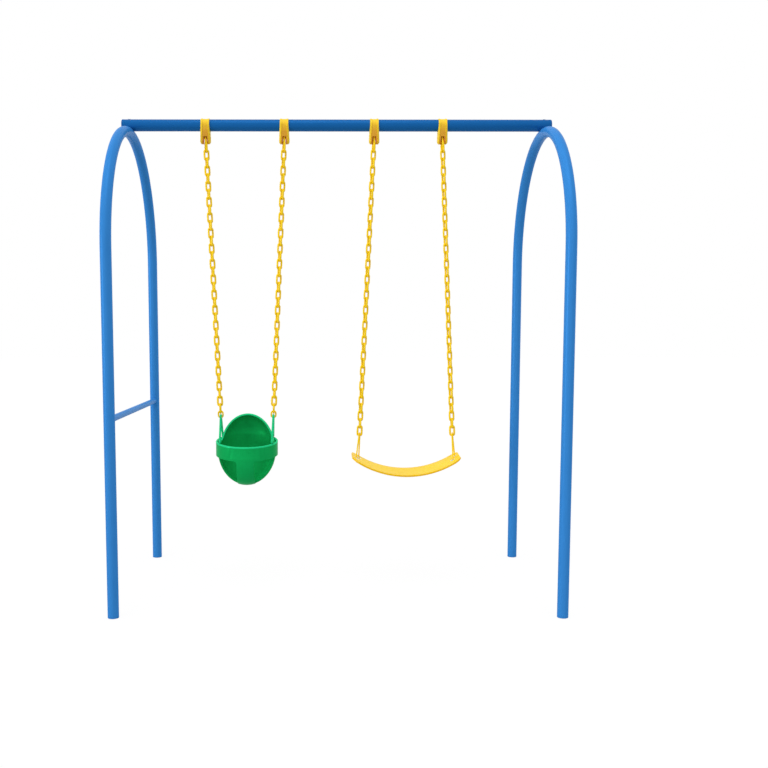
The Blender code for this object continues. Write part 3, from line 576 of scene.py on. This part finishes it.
for swing in ("bucket", "belt"):
    for side in ("left", "right"):
        node = f"{swing}_{side}_hanger"
        x = middle_of(node + "_pin").x
        pin_low, pin_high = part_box(node + "_pin")
        pin_z = (pin_low.z + pin_high.z) / 2
        hanger = hanger_blank(f"{swing}_{side}_hanger_moulding", x)
        reach = hanger_foot_width
        carve(hanger, round_bar("bore", beam_od / 2 + fit_gap, (x - reach, 0, beam_axis_z),
                                (x + reach, 0, beam_axis_z), beam_sides))
        carve(hanger, notch_wedge(x))
        carve(hanger, round_bar("pin_hole", pin_od / 2 + fit_gap, (x - reach, 0, pin_z),
                                (x + reach, 0, pin_z), pin_hole_sides))
        smooth(hanger, hanger_angle)
        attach(hanger, "frame")
        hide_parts(node)
        pin = round_bar(f"{node}_steel_pin", pin_od / 2, (pin_low.x, 0, pin_z), (pin_high.x, 0, pin_z),
                        pin_sides)
        ease_edges(pin, pin_edge_r, pin_edge_steps)
        smooth(pin, crisp_angle)
        dress(pin, pin_plate_and_shade, "frame", "zinc_steel", node + "_pin")


# Chains. Welded steel links dipped in thick yellow plastic, each turned a quarter turn from the last. A long
# top link rides on the hanger's pin and takes up the chain's twist. A short wide ring ends each bucket chain.

wire_od = 0.009
dipped_od = 0.0104
top_dipped_od = 0.0092
link_inside = 0.0376
link_bite = 0.0004
link_pitch = link_inside + link_bite
link_width = 0.0305
link_bends = 16
link_sides = 6
top_link_width = 0.0290
top_link_inside = 0.068
top_twist_share = 0.66
top_swell = 0.34
top_cuts = 3
link_squareness = 2.8
round_squareness = 2
ring_bends = 24
ring_sides = 12
seam_room = 0.0001
end_ring_inside = 0.023
end_ring_width = 0.032
chain_twist = 25.0
twist_lead = 3
link_count = {"bucket": 34, "belt": 37}
foot_spacing = {"bucket": 0.266, "belt": 0.471}
chain_pale = (1.00, 0.70, 0.012, 1)
chain_deep = (0.96, 0.63, 0.008, 1)

coating = Finish("yellow_chain_coating", chain_pale, chain_deep,
                 rough=(0.28, 0.40), broad_scale=90, fine_scale=420, bump_depth=0.00001)
coating.set(Specular_IOR_Level=0.25, Specular_Tint=(1, 0.85, 0.4, 1))
joint_at = {joint["name"]: Vector(joint["pos_m"]) for joint in frame["joints"]}


def oval_link(name, inside, width, thickness, swell, squareness, bends, sides):
    """A link in the XZ plane: a ring of dipped wire whose upper and lower halves are moved apart.

    Its sides swell towards the middle, and its crowns are round at a squareness of 2 and flatter above that.
    """
    ring_r = (width - wire_od) / 2
    bpy.ops.mesh.primitive_torus_add(major_radius=ring_r, minor_radius=thickness / 2, major_segments=bends,
                                     minor_segments=sides, rotation=(math.pi / 2, 0, 0))
    link = settle(bpy.context.object, name)
    stretch = inside / 2 + wire_od / 2 - ring_r
    edit(link)
    pick(link, "VERT", lambda middle, vert: middle.z > seam_room)
    bpy.ops.transform.translate(value=(0, 0, stretch))
    pick(link, "VERT", lambda middle, vert: middle.z < -seam_room)
    bpy.ops.transform.translate(value=(0, 0, -stretch))
    leave()
    for vert in link.data.vertices:
        hub = Vector((0, 0, max(-stretch, min(stretch, vert.co.z))))
        outwards = Vector((vert.co.x, 0, vert.co.z - hub.z)).normalized()
        offset = vert.co - hub - outwards * ring_r
        bulge = (abs(outwards.x) ** squareness + abs(outwards.z) ** squareness) ** (-1 / squareness)
        growth = 1 + swell * math.sin(math.pi / 2 * (1 - abs(hub.z) / stretch))
        vert.co = hub + outwards * ring_r * bulge + offset * growth
    only(link)
    bpy.ops.object.shade_smooth()
    return link


def placed_copy(model, place):
    """A copy of the model with its own mesh, moved by the matrix."""
    copy = model.copy()
    copy.data = model.data.copy()
    copy.data.transform(place)
    bpy.context.scene.collection.objects.link(copy)
    return copy


top_start = -(pin_od / 2 + 2 * fit_gap)
first_start = top_start + top_link_inside - fit_gap
link_model = oval_link("link_model", link_inside, link_width, dipped_od, 0,
                       link_squareness, link_bends, link_sides)
top_model = oval_link("top_link_model", top_link_inside, top_link_width, top_dipped_od, top_swell,
                      round_squareness, ring_bends, ring_sides)

# The top link hangs square on its pin, and turns on the way down to meet the twisted chain.
edit(top_model)
bpy.ops.mesh.select_all(action="SELECT")
bpy.ops.mesh.subdivide(number_cuts=top_cuts)
leave()
for vert in top_model.data.vertices:
    below_pin = 0.5 - (vert.co.z + pin_od / 2) / top_link_inside
    turn = math.radians(chain_twist) * min(1, max(0, below_pin / top_twist_share))
    vert.co = Matrix.Rotation(turn, 3, "Z") @ vert.co
ring_model = oval_link("end_ring_model", end_ring_inside, end_ring_width, wire_od - 2 * fit_gap, 0,
                       round_squareness, ring_bends, ring_sides)
for swing in ("bucket", "belt"):
    links = link_count[swing]
    tilt = joint_at[swing + "_tilt"]
    for side, sign in (("left", -1), ("right", 1)):
        top = middle_of(f"{swing}_{side}_hanger_pin")
        foot = Vector((tilt.x + sign * foot_spacing[swing] / 2, 0, tilt.z))
        lean = math.atan2(top.x - foot.x, top.z - foot.z)
        hung = Matrix.Translation(top) @ Matrix.Rotation(lean, 4, "Y")
        copies = []
        for index in range(links):
            turn = math.radians(90 * (index % 2) + chain_twist * min(1, (links - 1 - index) / twist_lead))
            drop = first_start + link_inside / 2 + index * link_pitch
            place = hung @ Matrix.Translation((0, 0, -drop)) @ Matrix.Rotation(turn, 4, "Z")
            copies.append(placed_copy(link_model, place))
        chain = merge(f"{swing}_{side}_chain_links", copies)
        dress(chain, coating, swing + "_chains", "yellow_chain_coating", f"{swing}_{side}_chain")
        drop = top_start + top_link_inside / 2
        place = hung @ Matrix.Translation((0, 0, -drop)) @ Matrix.Rotation(math.pi / 2, 4, "Z")
        top_link = settle(placed_copy(top_model, place), f"{swing}_{side}_long_link")
        dress(top_link, coating, swing + "_chains", "yellow_chain_coating", f"{swing}_{side}_top_link")
        if swing == "bucket":
            drop = first_start + (links - 1) * link_pitch + link_inside - fit_gap + end_ring_inside / 2
            place = hung @ Matrix.Translation((0, 0, -drop))
            ring = settle(placed_copy(ring_model, place), f"{swing}_{side}_ring")
            dress(ring, coating, swing + "_chains", "yellow_chain_coating", f"{swing}_{side}_end_ring")
for model in (link_model, top_model, ring_model):
    bpy.data.objects.remove(model)


# Bucket shell. The seat and the leaning back are one green moulding, shaped like an egg and open to the
# front, with its edge low beside the seat and drawn back over the shoulders.

shell_wall = 0.009
shell_depth = 0.270
shell_height = 0.350
shell_top_rise = 0.013
shell_edge_r = 0.0030
shell_edge_steps = 4
egg_sides = 80
egg_rings = 48
rim_highlight_index = 1
band_wall = 0.009
rim_y = -0.030
back_rim_y = 0.045
back_lean = math.radians(18.0)
shoulder_rise = 0.054
bucket_slope = math.radians(8.0)
band_top_drop = 0.114
green_pale = (0.006, 0.400, 0.098, 1)
green_deep = (0.005, 0.345, 0.078, 1)
rim_highlight_pale = (0.020, 0.640, 0.250, 1)
rim_highlight_deep = (0.014, 0.560, 0.210, 1)

moulding = Finish("green_moulding", green_pale, green_deep,
                  rough=(0.27, 0.31), broad_scale=18, fine_scale=600, bump_depth=0.000006)
# A lighter mint copy of the green for the lit edges: a painted highlight.
rim_highlight = Finish("green_painted_highlight", rim_highlight_pale, rim_highlight_deep,
             rough=(0.28, 0.34), broad_scale=30, fine_scale=600, bump_depth=0.000006)
for finish in (moulding, rim_highlight):
    finish.set(Specular_IOR_Level=0.02, Specular_Tint=(0.30, 1, 0.80, 1), Metallic=0.12)

shell_low, shell_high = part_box("bucket_shell")
guard_low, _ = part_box("bucket_front_guard")
bucket_half = Vector(((shell_high.x - shell_low.x) / 2, shell_depth / 2, shell_height / 2))
bucket_middle = Vector(((shell_low.x + shell_high.x) / 2, guard_low.y + band_wall + fit_gap + bucket_half.y,
                        joint_at["bucket_tilt"].z + shell_top_rise - bucket_half.z))
band_top = joint_at["bucket_tilt"].z - band_top_drop


def egg(name, half):
    """An egg-shaped skin round the bucket's middle, its poles on the Y axis."""
    bpy.ops.mesh.primitive_uv_sphere_add(segments=egg_sides, ring_count=egg_rings, radius=1,
                                         rotation=(math.pi / 2, 0, 0))
    skin = settle(bpy.context.object, name)
    skin.scale = half
    skin.location = bucket_middle
    return settle(skin, name)


def clip(piece, point, normal):
    """Removes what lies past a plane, on the side its normal points to."""
    edit(piece)
    bpy.ops.mesh.select_all(action="SELECT")
    bpy.ops.mesh.bisect(plane_co=point, plane_no=normal, clear_outer=True)
    leave()


def slope(piece):
    """Dips the front of a bucket piece and lifts its rear, about the bucket's middle."""
    for vert in piece.data.vertices:
        vert.co.z += (vert.co.y - bucket_middle.y) * math.tan(bucket_slope)


def eased_share(value):
    """The share from 0 to 1, with a soft start and end."""
    share = min(1, max(0, value))
    return share * share * (3 - 2 * share)


# The egg is cut straight across, and its skin is then drawn back from the cut to the curved front edge.
shell = egg("bucket_scoop", bucket_half)
clip(shell, bucket_middle + Vector((0, rim_y, 0)), (0, -1, 0))
for vert in shell.data.vertices:
    offset = vert.co - bucket_middle
    around = Vector((offset.x / bucket_half.x, offset.z / bucket_half.z)).normalized()
    edge_y = rim_y + (back_rim_y - rim_y) * eased_share(bucket_half.z * around.y / shoulder_rise)
    sphere_y = math.asin(max(-1, min(1, offset.y / bucket_half.y)))
    low, high = math.asin(rim_y / bucket_half.y), math.asin(edge_y / bucket_half.y)
    sphere_y = math.pi / 2 - (math.pi / 2 - sphere_y) * (math.pi / 2 - high) / (math.pi / 2 - low)
    around *= math.cos(sphere_y)
    vert.co = bucket_middle + Vector((bucket_half.x * around.x, bucket_half.y * math.sin(sphere_y),
                                      bucket_half.z * around.y))
    vert.co.y += max(0, vert.co.z - band_top) * math.tan(back_lean)
slope(shell)
mend(shell)
shell.data.materials.append(moulding.material)
shell.data.materials.append(rim_highlight.material)
# The cut edge of the scoop and its rounded corners take the painted highlight.
modify(shell, "SOLIDIFY", thickness=shell_wall, offset=-1, use_even_offset=True,
       material_offset_rim=rim_highlight_index)
ease_edges(shell, shell_edge_r, shell_edge_steps, material=rim_highlight_index)
# Edges below the band's top lie in shade, so they drop the painted highlight and keep the plain green.
for face in shell.data.polygons:
    if face.center.z < band_top:
        face.material_index = 0
smooth(shell, soft_angle)
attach(shell, "bucket_seat")
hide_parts("bucket_shell")


# Front guard. A second green moulding: a band round the front and sides of the scoop and a post down to its
# foot, with a rounded corner on each side where they meet. One rivet on each side holds it to the scoop.

band_height = 0.071
post_width = 0.086
post_back_y = 0.035
post_overlap = 0.012
post_foot_wall = 0.0008
corner_r = 0.014
corner_steps = 6
corner_find = 0.001
guard_edge_r = 0.0022
guard_edge_steps = 3
band_sides = 96
rolled_r = 0.0052
rolled_steps = 96
rod_rounding = 4
band_wrap = math.radians(45)
band_grow = fit_gap + band_wall
leg_hole_room = 0.20
rivet_y = 0.035
rivet_od = 0.006
rivet_head_od = 0.014
rivet_head_height = 0.003


def bent_rod(name, points, radius, closed, resolution):
    """A round rod along a smooth line through the points, made a closed mesh."""
    bpy.ops.curve.primitive_nurbs_path_add()
    rod = bpy.context.object
    line = rod.data
    line.splines.clear()
    spline = line.splines.new("POLY")
    spline.points.add(len(points) - 1)
    for point, place in zip(spline.points, points):
        point.co = (*place, 1)
    spline.use_cyclic_u = closed
    line.dimensions = "3D"
    line.bevel_depth = radius
    line.bevel_resolution = resolution
    line.use_fill_caps = not closed
    only(rod)
    bpy.ops.object.convert(target="MESH")
    rod = settle(bpy.context.object, name)
    mend(rod)
    only(rod)
    bpy.ops.object.shade_smooth()
    return rod


band_foot = band_top - band_height
band_half = Vector((bucket_half.x + band_grow, bucket_half.y + band_grow, bucket_half.z + band_grow))
rolled_z = band_top - rolled_r

bpy.ops.mesh.primitive_cylinder_add(vertices=band_sides, radius=1, depth=rolled_z - band_foot,
                                    end_fill_type="NOTHING")
band = settle(bpy.context.object, "bucket_guard")
band.scale = (band_half.x, band_half.y, 1)
band.location = (bucket_middle.x, bucket_middle.y, (rolled_z + band_foot) / 2)
settle(band, "bucket_guard")
edit(band)
pick(band, "FACE", lambda middle, face: (middle.y - bucket_middle.y) / band_half.y > math.sin(band_wrap))
bpy.ops.mesh.delete(type="FACE")
leave()
mend(band)
modify(band, "SOLIDIFY", thickness=band_wall, offset=-1, use_even_offset=True)

flush = 1 / math.sqrt(1 - ((band_foot - bucket_middle.z) / band_half.z) ** 2)
post_half = Vector((band_half.x * flush, band_half.y * flush, bucket_half.z + fit_gap + post_foot_wall))
post = egg("guard_post", post_half)
post_reach = post_width / 2 + 2 * corner_r
for point, normal in ((Vector((0, 0, band_foot + post_overlap)), (0, 0, 1)),
                      (Vector((0, bucket_middle.y + post_back_y, 0)), (0, 1, 0)),
                      (Vector((bucket_middle.x - post_reach, 0, 0)), (-1, 0, 0)),
                      (Vector((bucket_middle.x + post_reach, 0, 0)), (1, 0, 0))):
    clip(post, point, normal)
mend(post)
modify(post, "SOLIDIFY", thickness=band_wall, offset=-1, use_even_offset=True)
for sign in (-1, 1):
    inner_x = bucket_middle.x + sign * post_width / 2
    bpy.ops.mesh.primitive_cube_add(size=leg_hole_room * 2, location=(
        inner_x + sign * leg_hole_room, bucket_middle.y, band_foot - leg_hole_room))
    hole = settle(bpy.context.object, "leg_hole")
    edit(hole)
    pick(hole, "EDGE", lambda middle, edge: (abs(middle.x - inner_x) < corner_find
                                             and abs(middle.z - band_foot) < corner_find))
    bpy.ops.mesh.bevel(offset=corner_r, segments=corner_steps, affect="EDGES")
    leave()
    carve(post, hole)
carve(band, post, "UNION")
mend(band)
ease_edges(band, guard_edge_r, guard_edge_steps)
rolled_line = []
for step in range(rolled_steps + 1):
    turn = (math.pi / 2 + band_wrap) * (2 * step / rolled_steps - 1)
    rolled_line.append(Vector((bucket_middle.x + (band_half.x - band_wall / 2) * math.sin(turn),
                               bucket_middle.y - (band_half.y - band_wall / 2) * math.cos(turn), rolled_z)))
rolled = bent_rod("rolled_edge", rolled_line, rolled_r, False, rod_rounding)
for piece in (band, rolled):
    piece.data.materials.append(moulding.material)
    piece.data.materials.append(rim_highlight.material)
# The rolled top edge of the band carries the painted highlight.
for face in rolled.data.polygons:
    face.material_index = rim_highlight_index
carve(band, rolled, "UNION")
smooth(band, soft_angle)
slope(band)
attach(band, "bucket_seat")
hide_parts("bucket_front_guard")

for side in ("left", "right"):
    node = f"bucket_{side}_rivet"
    low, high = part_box(node)
    sign = 1 if (low.x + high.x) / 2 > bucket_middle.x else -1
    lean = math.asin(rivet_y / band_half.y)
    rivet = dome_head(f"bucket_{side}_rivet_head", rivet_head_od, rivet_head_height, rivet_od,
                      band_wall + shell_wall)
    outwards = Vector((sign * math.cos(lean), math.sin(lean), 0))
    rivet.rotation_euler = outwards.to_track_quat("Z", "Y").to_euler()
    rivet.location = (bucket_middle.x + sign * band_half.x * math.cos(lean), bucket_middle.y + rivet_y,
                      bucket_middle.z + rivet_y * math.tan(bucket_slope))
    settle(rivet, rivet.name)
    dress(rivet, zinc, "bucket_seat", "zinc_steel", node)


# Hanging straps. One round green strap on each side, moulded over rope: up from the front of the band,
# through the chain's end ring and down to the rear of the band. The straps' green is a lighter copy of the
# moulding's green, painted light.

strap_od = 0.011
strap_front_y = -0.072
strap_rear_y = 0.072
strap_steps = 16
strap_lit_pale = (0.014, 0.620, 0.230, 1)
strap_lit_deep = (0.008, 0.540, 0.190, 1)

# A lighter copy of the moulding's green: painted light on the straps.
strap_lit_paint = Finish("green_strap_painted_light", strap_lit_pale, strap_lit_deep,
                      rough=(0.34, 0.46), broad_scale=40, fine_scale=700, bump_depth=0.00003)
strap_lit_paint.set(Specular_IOR_Level=0.30, Specular_Tint=(0.08, 1, 0.70, 1))

strap_bend = wire_od / 2 + fit_gap + strap_od / 2
band_mid = Vector((bucket_half.x + fit_gap + band_wall / 2, bucket_half.y + fit_gap + band_wall / 2))
for side, sign in (("left", -1), ("right", 1)):
    x = joint_at["bucket_tilt"].x + sign * foot_spacing["bucket"] / 2
    tilt_z = joint_at["bucket_tilt"].z
    feet = []
    for y in (strap_front_y, strap_rear_y):
        out = band_mid.x * math.sqrt(1 - (y / band_mid.y) ** 2)
        feet.append(Vector((bucket_middle.x + sign * out, bucket_middle.y + y,
                            band_top + fit_gap + (y + strap_od / 2) * math.tan(bucket_slope))))
    over = []
    for step in range(strap_steps + 1):
        turn = math.pi * step / strap_steps
        over.append(Vector((x, -strap_bend * math.cos(turn), tilt_z + strap_bend * math.sin(turn))))
    rise = Vector((0, 0, strap_od))
    line = [feet[0], feet[0] + rise, *over, feet[1] + rise, feet[1]]
    strap = bent_rod(f"bucket_{side}_hanging_strap", line, strap_od / 2, False, rod_rounding)
    dress(strap, strap_lit_paint, "bucket_seat", "green_moulding", f"bucket_{side}_strap")


# Belt seat. A strip of moulded yellow rubber that hangs in a curve between its chains, drawn in and rounded
# at both ends, with two plated eyelets through each end for the ring. Its edges are a deeper yellow, painted
# shade.

belt_chord = 0.545
belt_sag = 0.088
belt_width = 0.175
belt_end_width = 0.100
belt_round = 0.045
belt_thickness = 0.008
belt_tip_drop = 0.103
belt_slope = math.radians(5.0)
belt_columns = 64
belt_rows = 12
belt_edge_row = 0.99
belt_edge_r = 0.0022
belt_edge_steps = 3
belt_edge_shade_index = 1
belt_bead_share = 0.915
ring_base = 0.050
ring_inset = 0.033
ring_skew = 0.0085
ring_wire = 0.0072
eyelet_hole = 0.0148
eyelet_od = 0.0232
eyelet_room = 0.0016
eyelet_barrel_room = 0.0010
eyelet_wall = 0.0008
eyelet_flatness = 0.5
eyelet_sides = 32
eyelet_hole_sides = 24
lip_sides = 10
belt_pale = (0.94, 0.650, 0.012, 1)
belt_deep = (0.92, 0.610, 0.008, 1)
belt_edge_shade = (0.90, 0.530, 0.008, 1)

rubber = Finish("yellow_belt_rubber", belt_pale, belt_deep,
                rough=(0.38, 0.46), broad_scale=9, fine_scale=520, bump_depth=0.00001)
# A deeper yellow for the belt's edges: painted shade.
rubber_edge_shade = Finish("yellow_belt_edge_shade", belt_edge_shade, belt_edge_shade,
                     rough=(0.38, 0.46), broad_scale=20, fine_scale=520, bump_depth=0.00001)
for finish in (rubber, rubber_edge_shade):
    finish.set(Specular_IOR_Level=0.15, Specular_Tint=(1, 0.9, 0.5, 1))

belt_x = joint_at["belt_tilt"].x
belt_tilt_z = joint_at["belt_tilt"].z
belt_r = ((belt_chord / 2) ** 2 + belt_sag ** 2) / (2 * belt_sag)
belt_half_angle = math.asin(belt_chord / 2 / belt_r)


def belt_point(angle, y):
    """A point of the belt's middle surface, angle from the bottom of the sag."""
    middle_z = belt_tilt_z - belt_tip_drop - belt_sag + belt_r
    return Vector((belt_x + belt_r * math.sin(angle), y,
                   middle_z - belt_r * math.cos(angle) + y * math.tan(belt_slope)))


def belt_half_width(angle):
    """Full width along the belt, drawn in over a rounded stretch at each end."""
    share = min(1, (belt_half_angle - abs(angle)) * belt_r / belt_round)
    return (belt_end_width + (belt_width - belt_end_width) * math.sqrt(max(0, 1 - (1 - share) ** 2))) / 2


def ring_spot(sign, end):
    """The middle of the front (end -1) or rear (end 1) eyelet, and the belt's upward normal there."""
    angle = sign * (belt_half_angle - ring_inset / belt_r) + end * ring_skew / belt_r
    normal = Vector((-math.tan(angle), -math.tan(belt_slope), 1)).normalized()
    return belt_point(angle, end * ring_base / 2), normal


bpy.ops.mesh.primitive_grid_add(x_subdivisions=belt_columns, y_subdivisions=belt_rows, size=2)
belt = settle(bpy.context.object, "belt_strip")
belt.data.materials.append(rubber.material)
belt.data.materials.append(rubber_edge_shade.material)
# The outer strip of the top on each side takes the painted edge shade, and so do the sides and rounded edges.
for face in belt.data.polygons:
    if abs(face.center.y) > 1 - 2 / belt_rows:
        face.material_index = belt_edge_shade_index
for vert in belt.data.vertices:
    angle = belt_half_angle * math.sin(vert.co.x * math.pi / 2)
    across = vert.co.y
    if abs(across) < belt_edge_row:
        across *= belt_bead_share / (1 - 2 / belt_rows)
    vert.co = belt_point(angle, across * belt_half_width(angle))
modify(belt, "SOLIDIFY", thickness=belt_thickness, offset=0, use_even_offset=True,
       material_offset_rim=belt_edge_shade_index)
ease_edges(belt, belt_edge_r, belt_edge_steps, material=belt_edge_shade_index)
for sign in (-1, 1):
    for end in (-1, 1):
        spot, normal = ring_spot(sign, end)
        reach = normal * 2 * belt_thickness
        carve(belt, round_bar("eyelet_hole", eyelet_hole / 2 + eyelet_room, spot - reach, spot + reach,
                              eyelet_hole_sides))
smooth(belt, soft_angle)
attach(belt, "belt_sling")
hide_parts("belt_seat")

for side, sign in (("left", -1), ("right", 1)):
    for row, end in (("front", -1), ("rear", 1)):
        spot, normal = ring_spot(sign, end)
        lips = []
        for face in (-1, 1):
            bpy.ops.mesh.primitive_torus_add(major_radius=(eyelet_hole + eyelet_od) / 4,
                                             minor_radius=(eyelet_od - eyelet_hole) / 4,
                                             major_segments=eyelet_sides, minor_segments=lip_sides)
            ring = settle(bpy.context.object, "eyelet_lip")
            ring.scale = (1, 1, eyelet_flatness)
            ring.location = (0, 0, face * (belt_thickness / 2 + fit_gap))
            lips.append(settle(ring, "eyelet_lip"))
        bpy.ops.mesh.primitive_cylinder_add(vertices=eyelet_sides, depth=belt_thickness,
                                            radius=eyelet_hole / 2 + eyelet_barrel_room,
                                            end_fill_type="NOTHING")
        barrel = settle(bpy.context.object, "eyelet_barrel")
        modify(barrel, "SOLIDIFY", thickness=eyelet_wall, offset=-1)
        eyelet = merge(f"belt_{side}_{row}_eyelet_ring", [*lips, barrel])
        eyelet.rotation_euler = normal.to_track_quat("Z", "Y").to_euler()
        eyelet.location = spot
        settle(eyelet, eyelet.name)
        smooth(eyelet, soft_angle)
        dress(eyelet, zinc, "belt_sling", "zinc_steel", f"belt_{side}_{row}_eyelet")


# Belt rings. A tall three-sided ring of coated wire at each end: over the chain's last crown, down through
# both eyelets and across under the belt.

ring_play = 0.0016
ring_turn = math.radians(14.0)
ring_bend_steps = 12
ring_foot_steps = 5

bend = dipped_od / 2 + ring_wire / 2 + ring_play
for side, sign in (("left", -1), ("right", 1)):
    top_x = belt_x + sign * foot_spacing["belt"] / 2
    line = []
    for step in range(ring_bend_steps + 1):
        turn = math.pi * step / ring_bend_steps
        back = -bend * math.cos(turn)
        line.append(Vector((top_x + back * math.sin(ring_turn), back * math.cos(ring_turn),
                            belt_tilt_z + bend * math.sin(turn))))
    feet = {}
    for end in (-1, 1):
        spot, other = ring_spot(sign, end)[0], ring_spot(sign, -end)[0]
        feet[end] = [Vector((spot.x, spot.y, spot.z + ring_wire)),
                     Vector((spot.x, spot.y, spot.z - belt_thickness))]
        for step in range(1, ring_foot_steps + 1):
            turn = math.pi / 2 * step / ring_foot_steps
            inward = ring_wire * (1 - math.cos(turn))
            drop = belt_thickness + ring_wire * math.sin(turn)
            feet[end].append(spot + (other - spot) * (inward / ring_base) - Vector((0, 0, drop)))
    line += feet[1] + feet[-1][::-1]
    ring = bent_rod(f"belt_{side}_triangle_ring", line, ring_wire / 2, True, rod_rounding)
    dress(ring, coating, "belt_sling", "yellow_chain_coating", f"belt_{side}_ring")


# Studio. A pale floor that keeps a soft shadow, a plain white world, broad soft lights from the left, from
# above and weakly from behind on both sides, and the photograph's camera.

photo_side = 768
photo_focal = 983.8
photo_centre = (325.8, 425.2)
camera_place = (-0.0734, -4.9616, 1.3025)
camera_yaw = 0.224
camera_pitch = 5.573
sensor = 36.0
world_level = 0.80
floor_size = 80
floor_drop = 0.001
floor_rough = 0.9
floor_seen = 0.07
floor_bounce = 0.50
lights = (("left_light", (-2.3, -1.0, 0.05), 1.30, 16), ("top_light", (-0.2, -1.3, 3.0), 0.95, 40),
          ("left_rear_light", (-2.0, 1.4, 0.25), 0.25, 24), ("right_rear_light", (2.0, 1.4, 0.25), 0.25, 24))


def seen_directly(nodes, links):
    """One for camera, glossy and transmission rays, zero for the rest."""
    ray = nodes.new("ShaderNodeLightPath")
    total = ray.outputs["Is Camera Ray"]
    for name in ("Is Glossy Ray", "Is Transmission Ray"):
        most = nodes.new("ShaderNodeMath")
        most.operation = "MAXIMUM"
        links.new(total, most.inputs[0])
        links.new(ray.outputs[name], most.inputs[1])
        total = most.outputs[0]
    return total


def level_by_sight(nodes, links, unseen, seen):
    """A value that differs between rays that see the surface directly and rays that only gather its light."""
    level = nodes.new("ShaderNodeMapRange")
    level.inputs["To Min"].default_value, level.inputs["To Max"].default_value = unseen, seen
    links.new(seen_directly(nodes, links), level.inputs["Value"])
    return level.outputs["Result"]


bpy.ops.mesh.primitive_plane_add(size=floor_size, location=(0, 0, -floor_drop))
floor = bpy.context.object
floor.name = "studio_floor"
floor_paint = bpy.data.materials.new("studio_floor")
floor_paint.use_nodes = True
nodes, links = floor_paint.node_tree.nodes, floor_paint.node_tree.links
shader = nodes["Principled BSDF"]
shader.inputs["Roughness"].default_value = floor_rough
shader.inputs["Specular IOR Level"].default_value = 0.0
shader.inputs["Emission Color"].default_value = (1, 1, 1, 1)
links.new(level_by_sight(nodes, links, floor_bounce, floor_seen), shader.inputs["Base Color"])
links.new(level_by_sight(nodes, links, 0, 1 - floor_seen), shader.inputs["Emission Strength"])
floor.data.materials.append(floor_paint)

world = bpy.data.worlds.new("studio")
bpy.context.scene.world = world
world.use_nodes = True
nodes, links = world.node_tree.nodes, world.node_tree.links
around = nodes["Background"]
around.inputs["Color"].default_value = (1, 1, 1, 1)
links.new(level_by_sight(nodes, links, world_level, 1), around.inputs["Strength"])

for name, place, power, softness in lights:
    bpy.ops.object.light_add(type="SUN", location=place)
    sun = bpy.context.object
    sun.name = name
    sun.data.energy = power
    sun.data.angle = math.radians(softness)
    sun.rotation_euler = Vector(place).to_track_quat("Z", "Y").to_euler()

bpy.ops.object.camera_add(location=camera_place, rotation=(
    math.radians(90 - camera_pitch), 0, math.radians(-camera_yaw)))
camera = bpy.context.object
camera.data.sensor_width = sensor
camera.data.lens = photo_focal / photo_side * sensor
camera.data.shift_x = (photo_side / 2 - photo_centre[0]) / photo_side
camera.data.shift_y = (photo_centre[1] - photo_side / 2) / photo_side
bpy.context.scene.camera = camera
bpy.context.scene.view_settings.view_transform = "Standard"
